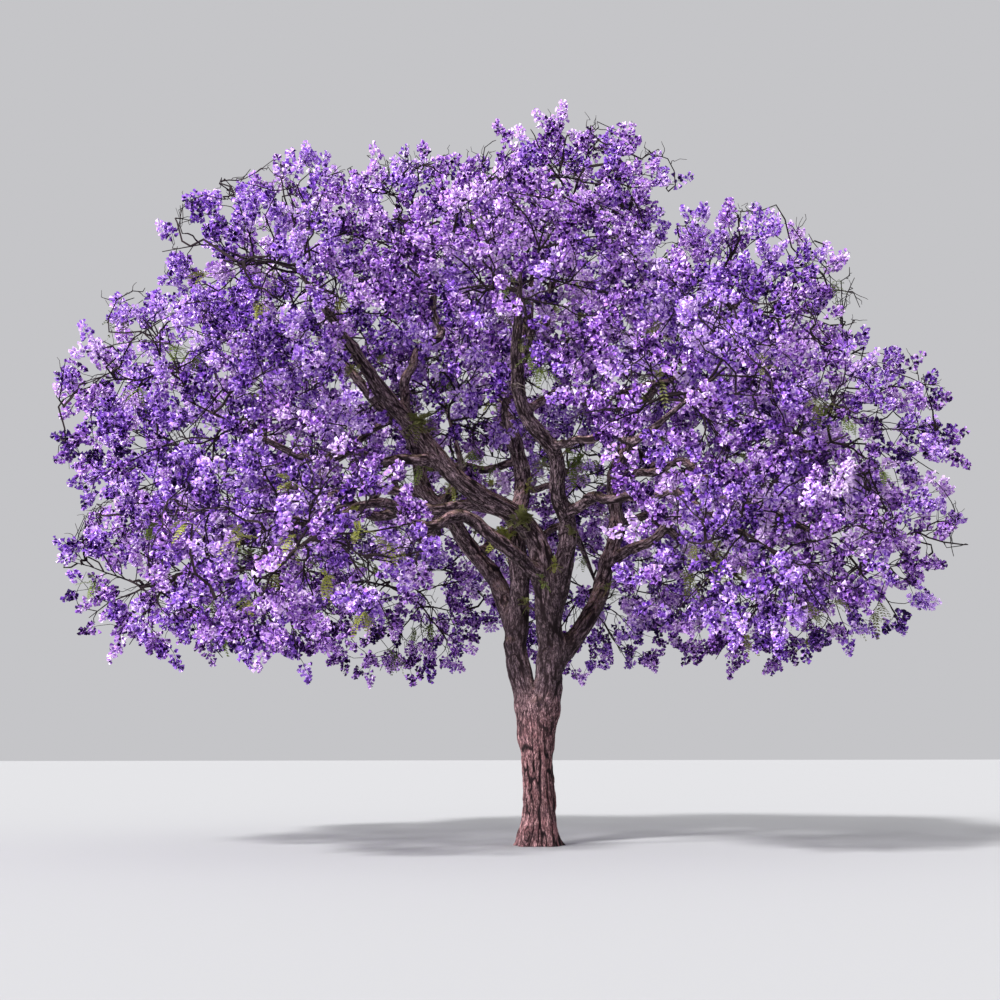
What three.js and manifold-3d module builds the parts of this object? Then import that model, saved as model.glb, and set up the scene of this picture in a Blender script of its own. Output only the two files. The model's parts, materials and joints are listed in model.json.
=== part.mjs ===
// A large street jacaranda in full bloom: a leaning, flared trunk that forks low into sinuous
// boughs, limbs that grow from them, and the masses of blossom that the limbs carry.
// Millimetres, +Z up. The origin is at the middle of the flat cut under the trunk, at ground level.
// The camera of the photograph looks along +Y, and the great bough reaches over a road towards -X.
import * as THREE from "three";
import { mergeVertices } from "three/addons/utils/BufferGeometryUtils.js";
import Module from "manifold-3d";

const wasm = await Module();
wasm.setup();

// Driving dimensions
const TREE_HEIGHT = 12400;
const CROWN_REACH = 7000;
const CROWN_SHIFT = -600;
const CROWN_LONG = 1.05;
const CROWN_SHORT = 0.95;
const FORK_HEIGHT = 2300;
const TRUNK_RADIUS = 300;
const FLARE_RADIUS = 150;
const FLARE_HEIGHT = 420;
const TRUNK_LEAN = -90;
const SEAT_GAP = 0.3;

// Trunk section: flutes run up the whole trunk, and root lobes fade out above the flare
const TRUNK_SIDES = 18;
const TRUNK_RINGS = 9;
const FLUTES = { count: 3, depth: 0.07, turn: 0.6 };
const ROOT_LOBES = { count: 5, depth: 0.3, turn: 0.9 };
const TRUNK_WAIST = 0.06;
const FORK_SWELL = 0.12;
const HEAD_TAPER = 0.45;

// Boughs and limbs
const BOUGH_SIDES = 8;
const BOUGH_RINGS = 11;
const LIMB_SIDES = 5;
const LIMB_RINGS = 5;
const BOUGH_TIP_RADIUS = 90;
const LIMB_TIP_RADIUS = 60;
const LIMB_BASE_SHARE = 0.62;
const BASE_SWELL = 0.16;
const BOUGH_WOBBLE = 0.028;
const LIMB_WOBBLE = 0.04;
const ENTRY_SHARE = 0.6;

// Tiers of blossom masses, from the top of the crown down to its skirt. Each tier has even slots round
// the crown, and an open slot stays empty. Heights are shares of the tree's height, distances are
// shares of the crown's reach, angles are in degrees, and rise is how steeply a limb enters its mass.
const TIERS = {
  top: { slots: 3, first: 60, open: 0, distance: 0.23, height: 0.88, spread: 2000, depth: 1450, rise: 72 },
  upper: { slots: 6, first: 25, open: 0, distance: 0.55, height: 0.76, spread: 2250, depth: 1750, rise: 48 },
  inner: { slots: 1, first: 125, open: 0, distance: 0.2, height: 0.63, spread: 1800, depth: 1500, rise: 70 },
  middle: { slots: 8, first: 22, open: 6, distance: 0.77, height: 0.58, spread: 2300, depth: 1850, rise: 20 },
  skirt: { slots: 9, first: 22, open: 7, distance: 0.77, height: 0.4, spread: 2150, depth: 1700, rise: -30 },
};
const CROWN_SEED = 11;
const BOUGH_SEED = 101;
const LIMB_SEED = 301;
const MASS_SEED = 501;
const TUFT_SEED = 801;
const TURN_JITTER = 6;
const HEIGHT_JITTER = 300;
const SIZE_JITTER = 0.1;

// Boughs: where each leaves its parent and which way, its radius, the mass at its tip, and the masses
// on its side limbs, each with the station at which its limb leaves the bough
const BOUGHS = [
  {
    name: "great_bough", parent: "trunk", station: 0.86, heading: -20, rise: 62, radius: 250,
    tip: "upper_4", carries: { skirt_6: 0.36, skirt_5: 0.54, middle_5: 0.68, top_2: 0.8 },
  },
  {
    name: "leader", parent: "trunk", station: 0.9, heading: 160, rise: 76, radius: 200,
    tip: "top_1", carries: { upper_2: 0.6, top_3: 0.82 },
  },
  {
    name: "right_bough", parent: "great_bough", station: 0.16, heading: 5, rise: 36, radius: 170,
    tip: "upper_1", carries: { skirt_9: 0.38, skirt_1: 0.54, middle_8: 0.66, middle_1: 0.8 },
  },
  {
    name: "front_bough", parent: "great_bough", station: 0.28, heading: 320, rise: 52, radius: 165,
    tip: "upper_5", carries: { skirt_8: 0.36, middle_7: 0.62, upper_6: 0.76 },
  },
  {
    name: "back_bough", parent: "leader", station: 0.2, heading: 105, rise: 42, radius: 165,
    tip: "upper_3", carries: {
      skirt_2: 0.3, skirt_3: 0.42, inner_1: 0.48, skirt_4: 0.56,
      middle_2: 0.64, middle_3: 0.72, middle_4: 0.82,
    },
  },
];

// Twigs and sprays inside a mass. A spray stands for a group of blossom panicles on its own stalk:
// the stalk runs to the neck, and the spray is widest at its belly. Places along it are shares of its
// length, and widths are shares of the mass's height.
const BRANCHES = 6;
const SIDE_SPRAYS = 2;
const STEM_STATIONS = [0.5, 1];
const FORK_STATIONS = [0.22, 0.5];
const NECK = 0.36;
const BELLY = 0.7;
const SIDE_NECK = 0.2;
const SIDE_BELLY = 0.6;
const STALK_RADIUS = 22;
const SIDE_STALK_RADIUS = 10;
const SPRAY_RADIUS = 0.28;
const STALK_LIFT = 0.1;
const SHORTER = [1, 0.9, 0.8, 0.7, 0.6];
const BALLS = [0.1, 0.25, 0.4, 0.55, 0.7, 0.85, 1];
const SPACE_MARGIN = 45;
const LIMB_MARGIN = 20;

// Tufts of young leaves that sprout from the boughs. A blade stands for a few whole leaves.
const TUFTS = [
  { parent: "great_bough", station: 0.45, heading: 215 },
  { parent: "great_bough", station: 0.74, heading: 250 },
  { parent: "leader", station: 0.36, heading: 200 },
  { parent: "front_bough", station: 0.5, heading: 340 },
  { parent: "back_bough", station: 0.5, heading: 20 },
];
const TUFT_RISE = 40;
const TUFT_STEM = 260;
const TUFT_STEM_RADIUS = 18;
const TUFT_BLADES = 5;
const BLADE_LENGTH = 420;
const BLADE_RADIUS = 80;

const BARK = new THREE.MeshStandardMaterial({ color: 0x4a3832, roughness: 0.95, metalness: 0 });
const BLOSSOM = new THREE.MeshStandardMaterial({ color: 0x8b62d9, roughness: 0.7, metalness: 0 });
const LEAF = new THREE.MeshStandardMaterial({ color: 0x5c7a35, roughness: 0.65, metalness: 0 });

const UP = new THREE.Vector3(0, 0, 1);
const GOLDEN_ANGLE = Math.PI * (3 - Math.sqrt(5));

// A repeatable stream of numbers from 0 to 1
function seeded(seed) {
  let state = seed >>> 0;
  return () => {
    state = (state + 0x6d2b79f5) >>> 0;
    let mixed = Math.imul(state ^ (state >>> 15), state | 1);
    mixed ^= mixed + Math.imul(mixed ^ (mixed >>> 7), mixed | 61);
    return ((mixed ^ (mixed >>> 14)) >>> 0) / 4294967296;
  };
}

// A unit vector from a heading round +Z and a rise above the level, in degrees
function direction(heading, rise) {
  const h = THREE.MathUtils.degToRad(heading);
  const r = THREE.MathUtils.degToRad(rise);
  return new THREE.Vector3(Math.cos(h) * Math.cos(r), Math.sin(h) * Math.cos(r), Math.sin(r));
}

// Turns a closed three.js geometry into a solid, with its coincident corners merged
function solid(geometry) {
  const bare = geometry.clone();
  bare.deleteAttribute("normal");
  bare.deleteAttribute("uv");
  const merged = mergeVertices(bare, 1e-3);
  const corners = [];
  const index = merged.index.array;
  for (let i = 0; i < index.length; i += 3) {
    const [a, b, c] = [index[i], index[i + 1], index[i + 2]];
    if (a !== b && b !== c && c !== a) corners.push(a, b, c);
  }
  const vertProperties = new Float32Array(merged.attributes.position.array);
  const triVerts = new Uint32Array(corners);
  return new wasm.Manifold(new wasm.Mesh({ numProp: 3, vertProperties, triVerts }));
}

// The largest body of a solid, without the scraps that a cut can leave
function largest(whole) {
  const bodies = whole.decompose();
  return bodies.reduce((best, body) => (body.volume() > best.volume() ? body : best));
}

// A named mesh made from a solid
function meshOf(name, whole, material) {
  const made = whole.getMesh();
  const geometry = new THREE.BufferGeometry();
  geometry.setAttribute("position", new THREE.BufferAttribute(made.vertProperties, 3));
  geometry.setIndex(new THREE.BufferAttribute(made.triVerts, 1));
  geometry.computeVertexNormals();
  const mesh = new THREE.Mesh(geometry, material);
  mesh.name = name;
  return mesh;
}

// A tapering rod of round section along a path. It bends a cylinder: each ring of the cylinder goes
// to its own station on the path, square to it, and gets the radius there.
function rod(path, radiusAt, sides, stations, grow = 0) {
  const geometry = new THREE.CylinderGeometry(1, 1, 1, sides, stations.length - 1);
  const position = geometry.attributes.position;
  const point = new THREE.Vector3();
  for (let i = 0; i < position.count; i += 1) {
    point.fromBufferAttribute(position, i);
    const t = stations[Math.round((point.y + 0.5) * (stations.length - 1))];
    const angle = Math.atan2(point.x, point.z);
    const radius = Math.hypot(point.x, point.z) * (radiusAt(t, angle) + grow);
    const along = path.getTangent(t);
    const side = new THREE.Vector3().crossVectors(along, path.across).normalize();
    const over = new THREE.Vector3().crossVectors(side, along);
    const place = path.getPoint(t).addScaledVector(along, t === 1 ? grow : 0);
    place.addScaledVector(side, radius * Math.sin(angle)).addScaledVector(over, radius * Math.cos(angle));
    position.setXYZ(i, place.x, place.y, place.z);
  }
  return solid(geometry);
}

// Stations spread evenly along a path
function evenStations(rings) {
  return Array.from({ length: rings + 1 }, (_, i) => i / rings);
}

// A limb's course: a cubic curve that leaves one way and arrives another, with a seeded wobble that
// dies out at both ends
class LimbPath extends THREE.Curve {
  constructor(start, leave, end, arrive, wobble, seed) {
    super();
    const length = start.distanceTo(end);
    const chord = end.clone().sub(start).normalize();
    const first = start.clone().addScaledVector(leave, length * 0.4);
    const second = end.clone().addScaledVector(arrive, -length * 0.35);
    this.course = new THREE.CubicBezierCurve3(start, first, second, end);
    this.side = new THREE.Vector3().crossVectors(chord, UP).normalize();
    this.over = new THREE.Vector3().crossVectors(this.side, chord);
    this.across = this.side;
    this.size = length * wobble;
    const random = seeded(seed);
    this.phases = [random(), random(), random(), random()];
  }

  getPoint(t) {
    const [a, b, c, d] = this.phases;
    const fade = this.size * Math.sin(Math.PI * t) ** 1.5;
    const wave = (turns, phase) => Math.sin(2 * Math.PI * (turns * t + phase));
    return this.course
      .getPoint(t)
      .addScaledVector(this.side, fade * (wave(1.3, a) + 0.6 * wave(2.9, b)))
      .addScaledVector(this.over, fade * (wave(1.6, c) + 0.6 * wave(3.3, d)));
  }

  getTangent(t) {
    if (t === 0 || t === 1) return this.course.getTangent(t);
    const step = 0.004;
    const before = this.getPoint(Math.max(0, t - step));
    return this.getPoint(Math.min(1, t + step)).sub(before).normalize();
  }
}

// A limb as its path with the radius at each station, and the solid made from both
class Limb {
  constructor(name, path, baseRadius, tipRadius, sides, rings) {
    this.name = name;
    this.path = path;
    this.sides = sides;
    this.rings = rings;
    this.baseRadius = baseRadius;
    this.tipRadius = tipRadius;
  }

  radiusAt(t) {
    const swell = this.baseRadius * BASE_SWELL * (1 - t) ** 8;
    return this.tipRadius + (this.baseRadius - this.tipRadius) * (1 - t) ** 0.75 + swell;
  }

  solid(grow = 0) {
    return rod(this.path, (t) => this.radiusAt(t), this.sides, evenStations(this.rings), grow);
  }

  // Balls along the axis, close enough together to test what passes near
  balls() {
    const steps = Math.ceil(this.path.getLength() / 110);
    return Array.from({ length: steps + 1 }, (_, i) => ({
      point: this.path.getPoint(i / steps),
      radius: this.radiusAt(i / steps) + LIMB_MARGIN,
    }));
  }
}

// The trunk: flat at the ground, flared into root lobes, fluted, waisted in the middle and swollen
// again below the fork, with its head rounded off between the boughs
class Trunk extends Limb {
  constructor() {
    const start = new THREE.Vector3(0, 0, 0);
    const end = new THREE.Vector3(TRUNK_LEAN, 0, FORK_HEIGHT);
    const path = new LimbPath(start, UP, end, direction(180, 86), 0, 1);
    path.across = new THREE.Vector3(0, 1, 0);
    super("trunk", path, TRUNK_RADIUS, TRUNK_RADIUS, TRUNK_SIDES, TRUNK_RINGS);
  }

  radiusAt(t, angle = 0) {
    const height = t * FORK_HEIGHT;
    const flare = Math.exp(-height / (FLARE_HEIGHT * 0.55)) * FLARE_RADIUS;
    const lobes = 1 + ROOT_LOBES.depth * Math.cos(ROOT_LOBES.count * angle + ROOT_LOBES.turn);
    const flutes = 1 + FLUTES.depth * Math.cos(FLUTES.count * angle + FLUTES.turn);
    const waist = 1 - TRUNK_WAIST * Math.sin(Math.PI * t) + FORK_SWELL * t ** 4;
    const head = 1 - HEAD_TAPER * Math.max(0, (t - 0.88) / 0.12) ** 2;
    return (TRUNK_RADIUS * waist * flutes + flare * lobes) * head;
  }

  solid(grow = 0) {
    const radiusAt = (t, angle) => this.radiusAt(t, angle);
    return rod(this.path, radiusAt, this.sides, evenStations(this.rings), grow);
  }
}

// The masses of blossom: each has a centre, half sizes and the direction in which its limb enters
function placeMasses() {
  const random = seeded(CROWN_SEED);
  const spread = (size) => (random() * 2 - 1) * size;
  const masses = new Map();
  for (const [tier, t] of Object.entries(TIERS)) {
    for (let i = 0; i < t.slots; i += 1) {
      const heading = t.first + (360 * i) / t.slots + spread(TURN_JITTER);
      const out = CROWN_REACH * t.distance * (1 + spread(SIZE_JITTER / 2));
      const size = 1 + spread(SIZE_JITTER);
      const flat = direction(heading, 0);
      const centre = new THREE.Vector3(
        CROWN_SHIFT + out * CROWN_LONG * flat.x,
        out * CROWN_SHORT * flat.y,
        TREE_HEIGHT * t.height + spread(HEIGHT_JITTER),
      );
      const enter = direction(heading, t.rise);
      const half = new THREE.Vector3(t.spread, t.spread, t.depth).multiplyScalar(size);
      const entry = centre.clone().addScaledVector(enter, -ENTRY_SHARE * half.length() / Math.sqrt(3));
      const name = `${tier}_${i + 1}`;
      if (i + 1 !== t.open) masses.set(name, { name, centre, half, enter, entry });
    }
  }
  return masses;
}

// The boughs of the table, and a side limb for each mass that a bough carries
function growLimbs(masses) {
  const limbs = new Map([["trunk", new Trunk()]]);
  BOUGHS.forEach((b, i) => {
    const parent = limbs.get(b.parent);
    const start = parent.path.getPoint(b.station);
    const mass = masses.get(b.tip);
    const leave = direction(b.heading, b.rise);
    const path = new LimbPath(start, leave, mass.entry, mass.enter, BOUGH_WOBBLE, BOUGH_SEED + i);
    mass.limb = new Limb(b.name, path, b.radius, BOUGH_TIP_RADIUS, BOUGH_SIDES, BOUGH_RINGS);
    limbs.set(b.name, mass.limb);
  });
  BOUGHS.forEach((b, i) => {
    const parent = limbs.get(b.name);
    Object.entries(b.carries).forEach(([target, station], k) => {
      const start = parent.path.getPoint(station);
      const mass = masses.get(target);
      const way = mass.entry.clone().sub(start).normalize();
      const leave = parent.path.getTangent(station).multiplyScalar(0.35).add(way).normalize();
      const seed = LIMB_SEED + 10 * i + k;
      const path = new LimbPath(start, leave, mass.entry, mass.enter, LIMB_WOBBLE, seed);
      const base = parent.radiusAt(station) * LIMB_BASE_SHARE;
      const name = `limb_${target}`;
      mass.limb = new Limb(name, path, base, LIMB_TIP_RADIUS, LIMB_SIDES, LIMB_RINGS);
      limbs.set(name, mass.limb);
    });
  });
  return limbs;
}

// How far out a point lies in a mass, where 1 is on the mass's own skin
function depthIn(mass, point) {
  return point.clone().sub(mass.centre).divide(mass.half).length();
}

// True if a point lies in the mass's own space: inside its skin, and clear of every other mass's share
function isOwn(mass, masses, point) {
  const own = depthIn(mass, point);
  if (own > 1) return false;
  const margin = SPACE_MARGIN / mass.half.z;
  for (const other of masses.values()) {
    if (other !== mass && depthIn(other, point) < own + 2 * margin) return false;
  }
  return true;
}

// Even directions over a ball, turned by a seeded angle
function evenDirections(count, turn) {
  return Array.from({ length: count }, (_, i) => {
    const z = 1 - (2 * i + 1) / count;
    const flat = Math.sqrt(1 - z * z);
    const angle = turn + i * GOLDEN_ANGLE;
    return new THREE.Vector3(flat * Math.cos(angle), flat * Math.sin(angle), z);
  });
}

// A gently arched path between two points
function arch(start, end, lift) {
  const middle = start.clone().lerp(end, 0.5).addScaledVector(UP, lift * start.distanceTo(end));
  const path = new THREE.QuadraticBezierCurve3(start, middle, end);
  path.across = new THREE.Vector3().crossVectors(end.clone().sub(start), UP).normalize();
  return path;
}

// A spray on its stalk, in one closed body of three sides
function spray(path, stalk, radius, neck, belly) {
  const radiusAt = (t) => (t === 1 ? 0 : t === belly ? radius : stalk);
  return rod(path, radiusAt, 3, neck > 0 ? [0, neck, belly, 1] : [0, belly, 1]);
}

// Balls that enclose a spray from its neck to its tip
function ballsOf(path, radius, neck, belly) {
  return BALLS.map((share) => {
    const t = neck + (1 - neck) * share;
    const swell = t < belly ? (t - neck) / (belly - neck) : (1 - t) / (1 - belly);
    return { point: path.getPoint(t), radius: STALK_RADIUS + radius * swell };
  });
}

// True if any two balls of two lists meet when they are shrunk to a share of their size
function touches(balls, others, share) {
  return balls.some((a) => {
    return others.some((b) => a.point.distanceTo(b.point) < share * (a.radius + b.radius));
  });
}

// The longest spray that fits a direction: it stays in the mass's own space, clear of the limbs and
// of the sprays that are there already
function fitSpray(mass, masses, limbBalls, taken, root, d, side) {
  const [neck, belly] = side ? [SIDE_NECK, SIDE_BELLY] : [NECK, BELLY];
  for (const shorter of SHORTER) {
    const tip = d.clone().multiply(mass.half).multiplyScalar(shorter).add(mass.centre);
    const path = arch(root, tip, STALK_LIFT);
    const radius = mass.half.z * SPRAY_RADIUS * shorter;
    const middle = path.getPoint(belly);
    const across = path.across.clone().multiplyScalar(radius);
    const over = new THREE.Vector3().crossVectors(across, path.getTangent(belly));
    const ends = [tip, middle.clone().add(across), middle.clone().sub(across)];
    ends.push(middle.clone().add(over), middle.clone().sub(over));
    const balls = ballsOf(path, radius, neck, belly);
    const inside = ends.every((point) => isOwn(mass, masses, point));
    if (inside && !touches(balls, limbBalls, 1) && !touches(balls, taken, 0.7)) {
      taken.push(...balls);
      const stalk = side ? SIDE_STALK_RADIUS : STALK_RADIUS;
      return { d, path, body: spray(path, stalk, radius, neck, belly) };
    }
  }
  return null;
}

// One mass: a stem that starts just clear of its limb's tip, branches that fan out from the stem and
// end in sprays, and side sprays that leave the branch nearest to each one's direction
function growMass(mass, masses, limbBalls, seed) {
  const random = seeded(seed);
  const { path: limbPath, tipRadius } = mass.limb;
  const tipWay = limbPath.getTangent(1);
  const stemStart = limbPath.getPoint(1).addScaledVector(tipWay, SEAT_GAP);
  const stemEnd = mass.centre.clone().addScaledVector(mass.enter, mass.half.z * 0.2);
  const stem = new LimbPath(stemStart, tipWay, stemEnd, mass.enter, 0, 1);
  const taper = (t) => tipRadius * (0.95 - 0.12 * t);
  const parts = [rod(stem, taper, 3, evenStations(2))];

  const taken = [];
  const every = SIDE_SPRAYS + 1;
  const ways = evenDirections(BRANCHES * every, random() * 6);
  const leaders = ways.filter((_, i) => i % every === 1);
  const [low, high] = STEM_STATIONS;
  const branches = leaders
    .map((d) => {
      const station = low + (high - low) * (0.5 + 0.5 * d.dot(mass.enter)) - 0.04 * random();
      return fitSpray(mass, masses, limbBalls, taken, stem.getPoint(station), d, false);
    })
    .filter((made) => made);
  const sides = ways
    .filter((_, i) => i % every !== 1)
    .map((d) => {
      const branch = branches.reduce((best, b) => (b.d.dot(d) > best.d.dot(d) ? b : best));
      const [near, far] = FORK_STATIONS;
      const station = far - (far - near) * Math.min(1, branch.d.angleTo(d) / 1.2);
      return fitSpray(mass, masses, limbBalls, taken, branch.path.getPoint(station), d, true);
    })
    .filter((made) => made);
  parts.push(...branches.map((made) => made.body), ...sides.map((made) => made.body));
  return largest(wasm.Manifold.union(parts));
}

// A tuft of young leaves on a short stem, cut to sit just clear of the bough that it sprouts from
function growTuft(tuft, parent, seed) {
  const random = seeded(seed);
  const root = parent.path.getPoint(tuft.station);
  const out = direction(tuft.heading, TUFT_RISE);
  const end = root.clone().addScaledVector(out, parent.radiusAt(tuft.station) + TUFT_STEM);
  const parts = [rod(arch(root, end, 0.05), () => TUFT_STEM_RADIUS, 3, evenStations(1))];
  for (let i = 0; i < TUFT_BLADES; i += 1) {
    const way = direction(tuft.heading + i * 137.5, 10 + 50 * random()).add(out).normalize();
    const start = root.clone().lerp(end, 0.98 - 0.06 * i);
    const tip = start.clone().addScaledVector(way, BLADE_LENGTH * (0.8 + 0.4 * random()));
    parts.push(spray(arch(start, tip, 0.1), 7, BLADE_RADIUS, 0.2, 0.6));
  }
  return largest(wasm.Manifold.union(parts).subtract(parent.solid(SEAT_GAP)));
}

// Puts the whole tree together. Each limb is cut by the limbs made before it, grown by the seat gap,
// so that its foot fits face to face on what it grows from.
function buildTree() {
  const tree = new THREE.Group();
  const masses = placeMasses();
  const limbs = growLimbs(masses);
  const grown = [];
  for (const limb of limbs.values()) {
    const body = grown.reduce((left, other) => left.subtract(other), limb.solid());
    grown.push(limb.solid(SEAT_GAP));
    tree.add(meshOf(limb.name, largest(body), BARK));
  }
  const limbBalls = [...limbs.values()].flatMap((limb) => limb.balls());
  [...masses.values()].forEach((mass, i) => {
    const body = growMass(mass, masses, limbBalls, MASS_SEED + i);
    tree.add(meshOf(`blossom_${mass.name}`, body, BLOSSOM));
  });
  TUFTS.forEach((tuft, i) => {
    const body = growTuft(tuft, limbs.get(tuft.parent), TUFT_SEED + i);
    tree.add(meshOf(`leaf_tuft_${i + 1}`, body, LEAF));
  });
  return tree;
}

export default buildTree();
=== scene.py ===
"""A large jacaranda in full bloom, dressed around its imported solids.

The trunk, boughs and limbs get a skin of furrowed bark. The masses of blossom are grown again by the
rule that shaped their solids, and carried on to twigs, panicles of small trumpet flowers and sparse
leaves. Metres, +Z up, with the origin at the middle of the flat cut under the trunk.
"""
import json
import math

import bpy
import numpy as np
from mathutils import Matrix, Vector

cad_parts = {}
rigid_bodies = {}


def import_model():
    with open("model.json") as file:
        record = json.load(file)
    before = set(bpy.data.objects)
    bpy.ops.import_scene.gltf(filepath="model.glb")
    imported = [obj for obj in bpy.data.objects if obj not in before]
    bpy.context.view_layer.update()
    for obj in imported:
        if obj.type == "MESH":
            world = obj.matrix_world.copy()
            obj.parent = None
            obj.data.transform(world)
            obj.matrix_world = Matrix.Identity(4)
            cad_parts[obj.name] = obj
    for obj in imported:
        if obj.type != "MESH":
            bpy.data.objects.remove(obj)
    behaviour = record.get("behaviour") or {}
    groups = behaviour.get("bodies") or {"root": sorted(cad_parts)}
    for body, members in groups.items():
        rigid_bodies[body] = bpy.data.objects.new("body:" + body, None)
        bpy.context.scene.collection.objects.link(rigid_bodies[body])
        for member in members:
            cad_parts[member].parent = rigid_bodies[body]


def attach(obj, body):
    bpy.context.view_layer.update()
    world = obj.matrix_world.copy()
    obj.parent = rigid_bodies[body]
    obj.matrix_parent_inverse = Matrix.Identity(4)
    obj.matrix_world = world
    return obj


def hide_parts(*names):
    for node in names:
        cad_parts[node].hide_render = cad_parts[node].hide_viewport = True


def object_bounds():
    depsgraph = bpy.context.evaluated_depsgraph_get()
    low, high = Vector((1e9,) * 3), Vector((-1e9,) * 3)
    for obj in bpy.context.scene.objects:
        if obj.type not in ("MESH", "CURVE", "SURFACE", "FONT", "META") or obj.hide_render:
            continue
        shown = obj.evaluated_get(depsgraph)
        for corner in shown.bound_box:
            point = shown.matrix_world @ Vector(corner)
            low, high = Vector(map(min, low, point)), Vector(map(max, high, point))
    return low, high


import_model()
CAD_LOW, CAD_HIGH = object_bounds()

# Driving dimensions of the tree, the same as those of its solids
TREE_HEIGHT = 12.4
CROWN_REACH = 7.0
CROWN_SHIFT = -0.6
CROWN_LONG = 1.05
CROWN_SHORT = 0.95
FORK_HEIGHT = 2.3
TRUNK_RADIUS = 0.3
FLARE_RADIUS = 0.15
FLARE_HEIGHT = 0.42
TRUNK_LEAN = -0.09
SEAT_GAP = 0.0003

# Trunk section: flutes run up the whole trunk, and root lobes fade out above the flare
FLUTES = {"count": 3, "depth": 0.07, "turn": 0.6}
ROOT_LOBES = {"count": 5, "depth": 0.3, "turn": 0.9}
FLARE_FALL = 0.55
TRUNK_WAIST = 0.06
FORK_SWELL = 0.12
HEAD_TAPER = 0.45
HEAD_FROM, HEAD_LONG = 0.88, 0.12
TRUNK_ARRIVES = {"heading": 180, "rise": 86}

# Boughs and limbs. A path's handles and waves give its bends, and its radius falls to its tip.
BOUGH_TIP_RADIUS = 0.09
LIMB_TIP_RADIUS = 0.06
LIMB_BASE_SHARE = 0.62
BASE_SWELL = 0.16
SWELL_FADE = 8
TAPER = 0.75
BOUGH_WOBBLE = 0.028
LIMB_WOBBLE = 0.04
WOBBLE_FADE = 1.5
LEAVE_HANDLE, ARRIVE_HANDLE = 0.4, 0.35
SWAY_TURNS = (1.3, 2.9)
LIFT_TURNS = (1.6, 3.3)
SECOND_WAVE = 0.6
LIMB_FOLLOW = 0.35
ENTRY_SHARE = 0.6
COURSE_POINTS = 201

# Tiers of blossom masses: even slots round the crown, of which an open one stays empty. Heights are
# shares of the tree's height, distances are shares of the crown's reach, and angles are in degrees.
TIERS = {
    "top": dict(slots=3, first=60, open=0, distance=0.23, height=0.88, spread=2.0, depth=1.45, rise=72),
    "upper": dict(slots=6, first=25, open=0, distance=0.55, height=0.76, spread=2.25, depth=1.75, rise=48),
    "inner": dict(slots=1, first=125, open=0, distance=0.2, height=0.63, spread=1.8, depth=1.5, rise=70),
    "middle": dict(slots=8, first=22, open=6, distance=0.77, height=0.58, spread=2.3, depth=1.85, rise=20),
    "skirt": dict(slots=9, first=22, open=7, distance=0.77, height=0.4, spread=2.15, depth=1.7, rise=-30),
}
CROWN_SEED = 11
BOUGH_SEED = 101
LIMB_SEED = 301
MASS_SEED = 501
TURN_JITTER = 6
HEIGHT_JITTER = 0.3
SIZE_JITTER = 0.1

# Boughs: where each leaves its parent and which way, its radius, the mass at its tip, and the masses
# on its side limbs, each with the station at which its limb leaves the bough
BOUGHS = [
    dict(name="great_bough", parent="trunk", station=0.86, heading=-20, rise=62, radius=0.25,
         tip="upper_4", carries={"skirt_6": 0.36, "skirt_5": 0.54, "middle_5": 0.68, "top_2": 0.8}),
    dict(name="leader", parent="trunk", station=0.9, heading=160, rise=76, radius=0.2,
         tip="top_1", carries={"upper_2": 0.6, "top_3": 0.82}),
    dict(name="right_bough", parent="great_bough", station=0.16, heading=5, rise=36, radius=0.17,
         tip="upper_1", carries={"skirt_9": 0.38, "skirt_1": 0.54, "middle_8": 0.66, "middle_1": 0.8}),
    dict(name="front_bough", parent="great_bough", station=0.28, heading=320, rise=52, radius=0.165,
         tip="upper_5", carries={"skirt_8": 0.36, "middle_7": 0.62, "upper_6": 0.76}),
    dict(name="back_bough", parent="leader", station=0.2, heading=105, rise=42, radius=0.165,
         tip="upper_3", carries={"skirt_2": 0.3, "skirt_3": 0.42, "inner_1": 0.48, "skirt_4": 0.56,
                                 "middle_2": 0.64, "middle_3": 0.72, "middle_4": 0.82}),
]
BOUGH_NAMES = [b["name"] for b in BOUGHS]

# Branches and sprays of a mass, as its solid has them. Places along a spray are shares of its length,
# and widths are shares of the mass's height.
BRANCHES = 6
SIDE_SPRAYS = 2
SPRAY_TURN = 6
STEM_LONG = 0.2
STEM_STATIONS = (0.5, 1.0)
STATION_JITTER = 0.04
FORK_STATIONS = (0.22, 0.5)
WIDEST_FORK = 1.2
NECK, BELLY = 0.36, 0.7
SIDE_NECK, SIDE_BELLY = 0.2, 0.6
STALK_RADIUS = 0.022
SPRAY_RADIUS = 0.28
STALK_LIFT = 0.1
SHORTER = (1, 0.9, 0.8, 0.7, 0.6)
BALLS = np.array([0.1, 0.25, 0.4, 0.55, 0.7, 0.85, 1.0])
BALL_STEP = 0.11
BALL_SHARE = 0.7
SPACE_MARGIN = 0.045
LIMB_MARGIN = 0.02

TUFTS = [
    dict(parent="great_bough", station=0.45, heading=215),
    dict(parent="great_bough", station=0.74, heading=250),
    dict(parent="leader", station=0.36, heading=200),
    dict(parent="front_bough", station=0.5, heading=340),
    dict(parent="back_bough", station=0.5, heading=20),
]
TUFT_RISE = 40
TUFT_STEM = 0.26

# Skin of the bark: how far apart its rings and its corners lie, on the trunk, boughs and side limbs
FEWEST_SIDES, FEWEST_RINGS, FEWEST_STEM_RINGS = 14, 8, 4
TRUNK_STEPS = (0.022, 0.0101)
BOUGH_STEPS = (0.03, 0.015)
LIMB_STEPS = (0.042, 0.023)
# A limb starts narrower inside its parent, and the trunk runs on and closes inside the fork
FOOT_SHARE = 0.66
FOOT_LENGTH = 1.5
HEAD_RISE = 0.42
HEAD_CLOSE = 0.85
ROUND_FROM, ROUND_TO = 0.6, 0.88
STEM_END = 0.16
TIP_BULGE = 0.3

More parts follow.
